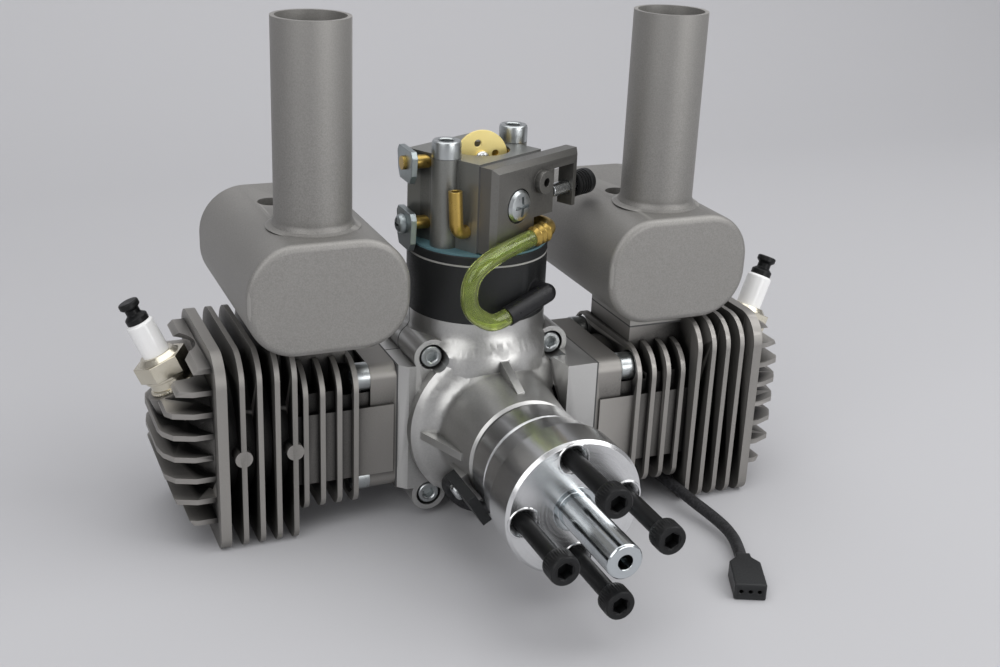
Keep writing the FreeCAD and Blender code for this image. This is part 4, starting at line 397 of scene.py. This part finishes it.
def dress_nodes():
    # Every node gets its slot's finish; those listed here also get softer edges, in mm
    for node, item in frame["nodes"].items():
        item.data.materials.clear()
        item.data.materials.append(finishes[slots[node]])
    rounding = {
        "crankcase_front": 0.5, "crankcase_rear": 0.5, "cylinder_left": 0.25,
        "cylinder_right": 0.25, "muffler_left": 0.3, "muffler_right": 0.3, "prop_hub": 0.25,
        "carb_body": 0.4, "carb_spacer": 0.2, "spacer_plate": 0.2, "plug_insulators": 0.2,
        "plug_shells": 0.15, "plug_terminals": 0.15, "choke_shaft": 0.2, "throttle_shaft": 0.2,
        "fuel_nipple": 0.1, "pulse_elbow": 0.0, "hall_sensor": 0.4, "low_needle": 0.1,
        "high_needle": 0.1, "sensor_plug": 0.4, "idle_spring": 0.1,
    }
    for node, round_mm in rounding.items():
        dressed(node, round_mm)
    for node, round_mm, finish in (
            ("pump_cover", 0.3, cover_casting), ("choke_lever", 0.15, lever_zinc),
            ("throttle_lever", 0.15, lever_zinc), ("pulse_nipple", 0.2, glossy_black),
            ("crankshaft_front", 0.15, polished_zinc), ("pump_gasket", 0.0, gasket_line),
            ("base_gaskets", 0.0, gasket_line), ("case_gasket", 0.0, gasket_line),
            ("exhaust_gaskets", 0.0, gasket_line)):
        dressed(node, round_mm, finish)


# Fasteners and trim, in mm along +Z from the seat of the head and then put in place. A profile
# holds (radius, height) pairs.
def turned_shape(profile, steps):
    shape = bmesh.new()
    corners = [shape.verts.new((radius, 0, height)) for radius, height in profile]
    edges = [shape.edges.new(pair) for pair in zip(corners, corners[1:])]
    bmesh.ops.spin(shape, geom=corners + edges, cent=(0, 0, 0), axis=(0, 0, 1), angle=math.tau,
                   steps=steps, use_merge=True)
    bmesh.ops.remove_doubles(shape, verts=shape.verts, dist=1e-4)
    return shape


def every_second(verts, steps):
    # The points at the odd ones of so many steps round Z
    step = math.tau / steps
    return [vert for vert in verts if round(math.atan2(vert.co.y, vert.co.x) / step) % 2]


def socket_screw(radius, length, grooved=0.965):
    # Socket cap screw with a hexagon socket and a plain shank. Its head is knurled to the
    # given share of its radius, and smooth at 1.
    knurls = 36
    head = radius * 1.7
    tall = radius * 2
    corner = radius * 0.94
    shape = turned_shape([
        (0, length), (radius - 0.3, length), (radius, length - 0.4), (radius, 0), (head - 0.15, 0),
        (head, -0.15), (head, -tall * 0.35), (head, -tall * 0.8), (head - 0.18, -tall + 0.25),
        (head - 0.45, -tall), (corner + 0.25, -tall), (corner, -tall + 0.25),
    ], knurls * 2)
    flank = [vert for vert in shape.verts
             if abs(vert.co.xy.length - head) < 1e-3 and vert.co.z > -tall * 0.85]
    bmesh.ops.scale(shape, vec=(grooved, grooved, 1), verts=every_second(flank, knurls * 2))
    rim = [edge for edge in shape.edges if edge.is_boundary]
    made = bmesh.ops.create_circle(shape, segments=6, radius=corner)["verts"]
    bmesh.ops.translate(shape, verts=made, vec=(0, 0, -tall + 0.3))
    sides = [edge for edge in shape.edges if edge.is_wire]
    bmesh.ops.subdivide_edges(shape, edges=sides, cuts=knurls // 3 - 1)
    hexagon = [edge for edge in shape.edges if edge.is_wire]
    bmesh.ops.bridge_loops(shape, edges=rim + hexagon)
    walls = bmesh.ops.extrude_edge_only(shape, edges=hexagon)["geom"]
    sunk = [item for item in walls if isinstance(item, bmesh.types.BMVert)]
    bmesh.ops.translate(shape, verts=sunk, vec=(0, 0, tall * 0.55))
    floor_edges = [item for item in walls
                   if isinstance(item, bmesh.types.BMEdge) and item.is_boundary]
    bmesh.ops.contextual_create(shape, geom=floor_edges)
    return outward_mesh(shape, "socket_screw")


def gathered(name, parts):
    # One mesh in metres from (mesh, place in mm, axis) entries
    whole = bmesh.new()
    for mesh, at, axis in parts:
        before = len(whole.verts)
        whole.from_mesh(mesh)
        whole.verts.ensure_lookup_table()
        turn = Vector(axis).to_track_quat("Z", "Y").to_matrix().to_4x4()
        place = Matrix.Scale(MM, 4) @ Matrix.Translation(at) @ turn
        bmesh.ops.transform(whole, matrix=place, verts=whole.verts[before:])
    mesh = smooth_mesh(whole, name)
    mesh.set_sharp_from_angle(angle=KEEP_EDGES)
    return mesh


def carved(mesh, cutters):
    # The mesh with the cutter meshes taken out of it
    block = new_object("carving", mesh)
    tools = []
    for cutter in cutters:
        tool = new_object("cutter", cutter)
        cutting = block.modifiers.new("cutting", "BOOLEAN")
        cutting.operation = "DIFFERENCE"
        cutting.solver = "EXACT"
        cutting.object = tool
        tools.append(tool)
    result = evaluated_mesh(block)
    for item in [block] + tools:
        bpy.data.objects.remove(item)
    return result


def slab(width, length, height, at):
    shape = bmesh.new()
    bmesh.ops.create_cube(shape, size=1)
    bmesh.ops.scale(shape, vec=(width, length, height), verts=shape.verts)
    bmesh.ops.translate(shape, vec=at, verts=shape.verts)
    return plain_mesh(shape, "slab")


def cross_head(radius, height, slot):
    # Domed screw head with a cross recess, its seat at zero and its crown towards -Z
    dome = turned_shape([
        (0, 0.6), (radius - 0.1, 0.6), (radius - 0.1, 0), (radius, -0.1), (radius, -height * 0.35),
        (radius * 0.86, -height * 0.72), (radius * 0.55, -height * 0.95), (0, -height),
    ], 48)
    deep = height * 1.1
    long = radius * 1.25
    crown = (0, 0, -height)
    return carved(outward_mesh(dome, "cross_head"),
                  [slab(slot, long, deep, crown), slab(long, slot, deep, crown)])


def on_bolt_circle(mesh, y):
    # The mesh at each of the hub's four bolts, facing the engine
    places = []
    for index in range(4):
        angle = math.radians(FIRST_BOLT_DEGREES + 90 * index)
        at = (BOLT_CIRCLE * math.cos(angle), y, BOLT_CIRCLE * math.sin(angle))
        places.append((mesh, at, (0, 1, 0)))
    return places


def fasteners():
    smooth = 1
    nearly_smooth = 0.985
    case_screw = socket_screw(M4, 20, smooth)
    case_places = [(case_screw, (x, 64, z), (0, 1, 0))
                   for x in (-19.1, 19.1) for z in (-22.4, 22.4)]
    base_screw = socket_screw(M5, 16, smooth)
    base_places = [(base_screw, (side * 37, middle + dy, dz), (-side, 0, 0))
                   for side, middle in CYLINDERS for dy in (-16, 16) for dz in (-16, 16)]
    carb_bolt = socket_screw(M5, 57, nearly_smooth)
    cover_screw = cross_head(4.7, 2.3, 1.1)
    carb_places = [(carb_bolt, (13.281, 81.473, 80), (0, 0, -1)),
                   (carb_bolt, (-13.281, 67.527, 80), (0, 0, -1)),
                   (cover_screw, (4.593, 57.146, 67.3), (-CARB_Y, CARB_X, 0))]
    prop_places = on_bolt_circle(socket_screw(M5, 35), -20.6)
    for node, places, body, slot, finish in (
            ("case_screws", case_places, "engine", "zinc_steel", screw_zinc),
            ("cylinder_screws", base_places, "engine", "zinc_steel", screw_zinc),
            ("carb_screws", carb_places, "engine", "zinc_steel", screw_zinc),
            ("prop_bolts", prop_places, "crank", "black_oxide", None)):
        add_piece(node + "_skin", gathered(node + "_skin", places), body, slot, finish, [node])


def trim_screw(name, head, at, axis, body, finish=None):
    add_piece(name, gathered(name, [(head, at, axis)]), body, "zinc_steel", finish)


def choke_butterfly():
    # Gold disc, its colour partly real gold and partly a painted reflection, with a steel
    # cross-head screw on the shaft's flat
    dressed("choke_disc", 0.08, gold_with_painted_reflection)
    trim_screw("choke_screw", cross_head(2.3, 1.2, 0.55), (0, 73, 77.3), (0, 1, 0), "choke")


def throttle_lever_screw():
    trim_screw("throttle_lever_screw", cross_head(2.9, 2.4, 0.7), (-23.35, 74.5, 59.2), (1, 0, 0),
               "throttle", lever_zinc)


def idle_stop_screw():
    # Black knob and coil, with the bright threaded shank showing inside the cover's arm
    piece = dressed("idle_screw", 0.2)
    piece.data.materials.append(finishes["zinc_steel"])
    start = Vector((33.79, 74.677, 67.8)) * MM
    outward = Vector((CARB_X, CARB_Y, 0))
    shank_from = -6 * MM
    for face in piece.data.polygons:
        if (Vector(face.center) - start).dot(outward) < shank_from:
            face.material_index = 1


def plug_washers():
    # Crimped ring under each spark plug's hexagon
    steps = 96
    crimp = 0.965
    ring = turned_shape([(5.2, 0), (6.5, 0), (6.9, 0.25), (6.9, 1.0), (6.5, 1.25), (5.2, 1.25),
                         (5.2, 0)], steps)
    outer = [vert for vert in ring.verts if vert.co.xy.length > 6.7]
    bmesh.ops.scale(ring, vec=(crimp, crimp, 1), verts=every_second(outer, steps))
    mesh = outward_mesh(ring, "plug_washer")
    places = []
    for side, middle in CYLINDERS:
        lean = (side * math.tan(math.radians(24)), math.tan(math.radians(8)), 1)
        places.append((mesh, (side * 89.9, middle, 13.7), lean))
    add_piece("plug_washers", gathered("plug_washers", places), "engine", "nickel_steel")


def elbow_barbs():
    # Clean-edged barbs round the brass elbow's end, where the tube begins
    barb = turned_shape([(1.3, 0), (2.7, 0), (3.0, 0.15), (3.0, 0.5), (2.1, 1.55), (1.3, 1.55),
                         (1.3, 0)], 64)
    mesh = outward_mesh(barb, "barb")
    arm = 11.9
    along = Vector((-CARB_X * arm, -CARB_Y * arm, -1.1))
    knee = Vector((19.15, 60.611, 59.0))
    places = [(mesh, knee + along * (reach / arm), along) for reach in (5.6, 7.7, 9.8)]
    add_piece("elbow_barbs", gathered("elbow_barbs", places), "engine", "brass")


def hub_mouths():
    # Bright rolled rim round each bolt hole in the hub's face
    rim = turned_shape([(3.95, 0.35), (3.95, -0.05), (4.15, -0.26), (4.45, -0.26), (4.7, 0),
                        (4.7, 0.35), (3.95, 0.35)], 64)
    places = on_bolt_circle(outward_mesh(rim, "rim"), 0)
    add_piece("hub_mouth_rims", gathered("hub_mouth_rims", places), "crank", "turned_aluminium")


def pickup_screw():
    # Pan-head screw that holds the pick-up on its pad
    angle = math.radians(212)
    reach = 21.5
    at = (reach * math.cos(angle), 39, reach * math.sin(angle))
    inward = (-math.cos(angle), 0, -math.sin(angle))
    trim_screw("pickup_screw", cross_head(2.6, 1.4, 0.7), at, inward, "engine")


# Round lines through points in mm
def swept_line(name, route, radius, round_steps, length_steps):
    curve = bpy.data.curves.new(name, "CURVE")
    curve.dimensions = "3D"
    curve.bevel_depth = radius * MM
    curve.bevel_resolution = round_steps
    line = curve.splines.new("NURBS")
    line.points.add(len(route) - 1)
    for point, place in zip(line.points, route):
        point.co = (*[value * MM for value in place], 1)
    line.order_u = 3
    line.use_endpoint_u = True
    line.resolution_u = length_steps
    return new_object(name, curve)


def pulse_tube():
    # Between the brass elbow and the spacer's nipple, with its open bore
    guide = swept_line("pulse_tube_line", [
        (8.53, 55.03, 57.89), (2.44, 51.84, 57.26), (-7.2, 47.1, 55.7), (-12.9, 46.0, 51.6),
        (-14.0, 46.1, 45.0), (-12.3, 46.4, 40.0), (-7.0, 47.1, 36.4), (-3.69, 48.04, 35.95),
        (-0.67, 49.0, 36.87),
    ], 2.5, 12, 20)
    mesh = evaluated_mesh(guide)
    bpy.data.objects.remove(guide)
    mesh.name = "pulse_tube_skin"
    for face in mesh.polygons:
        face.use_smooth = True
    piece = add_piece("pulse_tube_skin", mesh, "engine", "green_tube", None, ["pulse_tube"])
    wall = piece.modifiers.new("wall", "SOLIDIFY")
    wall.thickness = 1.0 * MM
    wall.offset = -1


def sensor_cable():
    # The pick-up's cable, along the same route as the solid's
    route = [
        (-17.4, 42.3, -10.9), (-17.3, 46.8, -11.4), (-16.9, 51.2, -14.8),
        (-14.4, 53.2, -20.0), (-9.6, 53.6, -24.6), (-3.0, 53.7, -27.2),
        (4.5, 53.9, -28.0), (13.5, 54.8, -27.8), (22.0, 57.0, -27.0),
        (29.5, 60.2, -26.0), (37.5, 64.0, -25.2), (46.5, 65.0, -24.9),
        (53.6, 60.6, -24.8), (57.0, 52.8, -24.8), (57.9, 44.0, -25.0),
        (58.8, 35.0, -25.6), (60.6, 26.0, -26.4), (61.4, 17.5, -27.0),
        (59.6, 9.2, -27.3), (56.2, 1.6, -27.4),
    ]
    cable = swept_line("pickup_cable", route, 1.8, 4, 8)
    cable.data.use_fill_caps = True
    cable.data.materials.append(finishes["black_rubber"])
    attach(cable, "engine")
    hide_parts("sensor_cable")


# Room: plain floor that curves up into the backdrop, soft lamps, pale sky
def stage():
    backdrop = Finish("backdrop", (0.47, 0.47, 0.485), 0.0, 0.9)
    shape = bmesh.new()
    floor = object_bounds()[0][2]
    half_width = 1.6
    near, bend_at, bend_radius, top = -0.9, 0.45, 0.35, 1.6
    bend_steps = 8
    profile = [(near, 0), (bend_at, 0)]
    for step in range(1, bend_steps + 1):
        angle = math.radians(90 * step / bend_steps)
        profile.append((bend_at + bend_radius * math.sin(angle),
                        bend_radius - bend_radius * math.cos(angle)))
    profile.append((bend_at + bend_radius, top))
    start = [shape.verts.new((-half_width, y, floor + z)) for y, z in profile]
    edges = [shape.edges.new(pair) for pair in zip(start, start[1:])]
    wide = bmesh.ops.extrude_edge_only(shape, edges=edges)
    moved = [item for item in wide["geom"] if isinstance(item, bmesh.types.BMVert)]
    bmesh.ops.translate(shape, verts=moved, vec=(2 * half_width, 0, 0))
    bmesh.ops.recalc_face_normals(shape, faces=shape.faces)
    mesh = smooth_mesh(shape, "floor")
    mesh.materials.append(backdrop.material)
    new_object("floor", mesh)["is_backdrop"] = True


def lights():
    engine_middle = Vector((0, 0.06, 0.03))
    for name, place, width, height, power in (
            ("key_right", (0.70, -0.25, 0.80), 0.8, 0.8, 5.5),
            ("top", (-0.10, 0.10, 1.05), 1.3, 1.1, 7),
            ("fill_left", (-0.80, -0.55, 0.55), 0.7, 0.8, 3.5),
            ("low_front", (0.36, -0.80, 0.22), 0.6, 0.35, 2.4)):
        data = bpy.data.lights.new(name, "AREA")
        data.shape = "RECTANGLE"
        data.size = width
        data.size_y = height
        data.energy = power
        lamp = new_object(name, data)
        lamp.location = place
        heading = engine_middle - Vector(place)
        lamp.rotation_euler = heading.to_track_quat("-Z", "Y").to_euler()
    world = bpy.data.worlds.new("sky")
    bpy.context.scene.world = world
    world.use_nodes = True
    sky = world.node_tree.nodes["Background"]
    sky.inputs["Color"].default_value = (0.55, 0.55, 0.57, 1)
    sky.inputs["Strength"].default_value = 0.55


dress_nodes()
fasteners()
choke_butterfly()
throttle_lever_screw()
idle_stop_screw()
plug_washers()
elbow_barbs()
hub_mouths()
pickup_screw()
pulse_tube()
sensor_cable()
stage()
lights()
bpy.context.scene.view_settings.view_transform = "Standard"
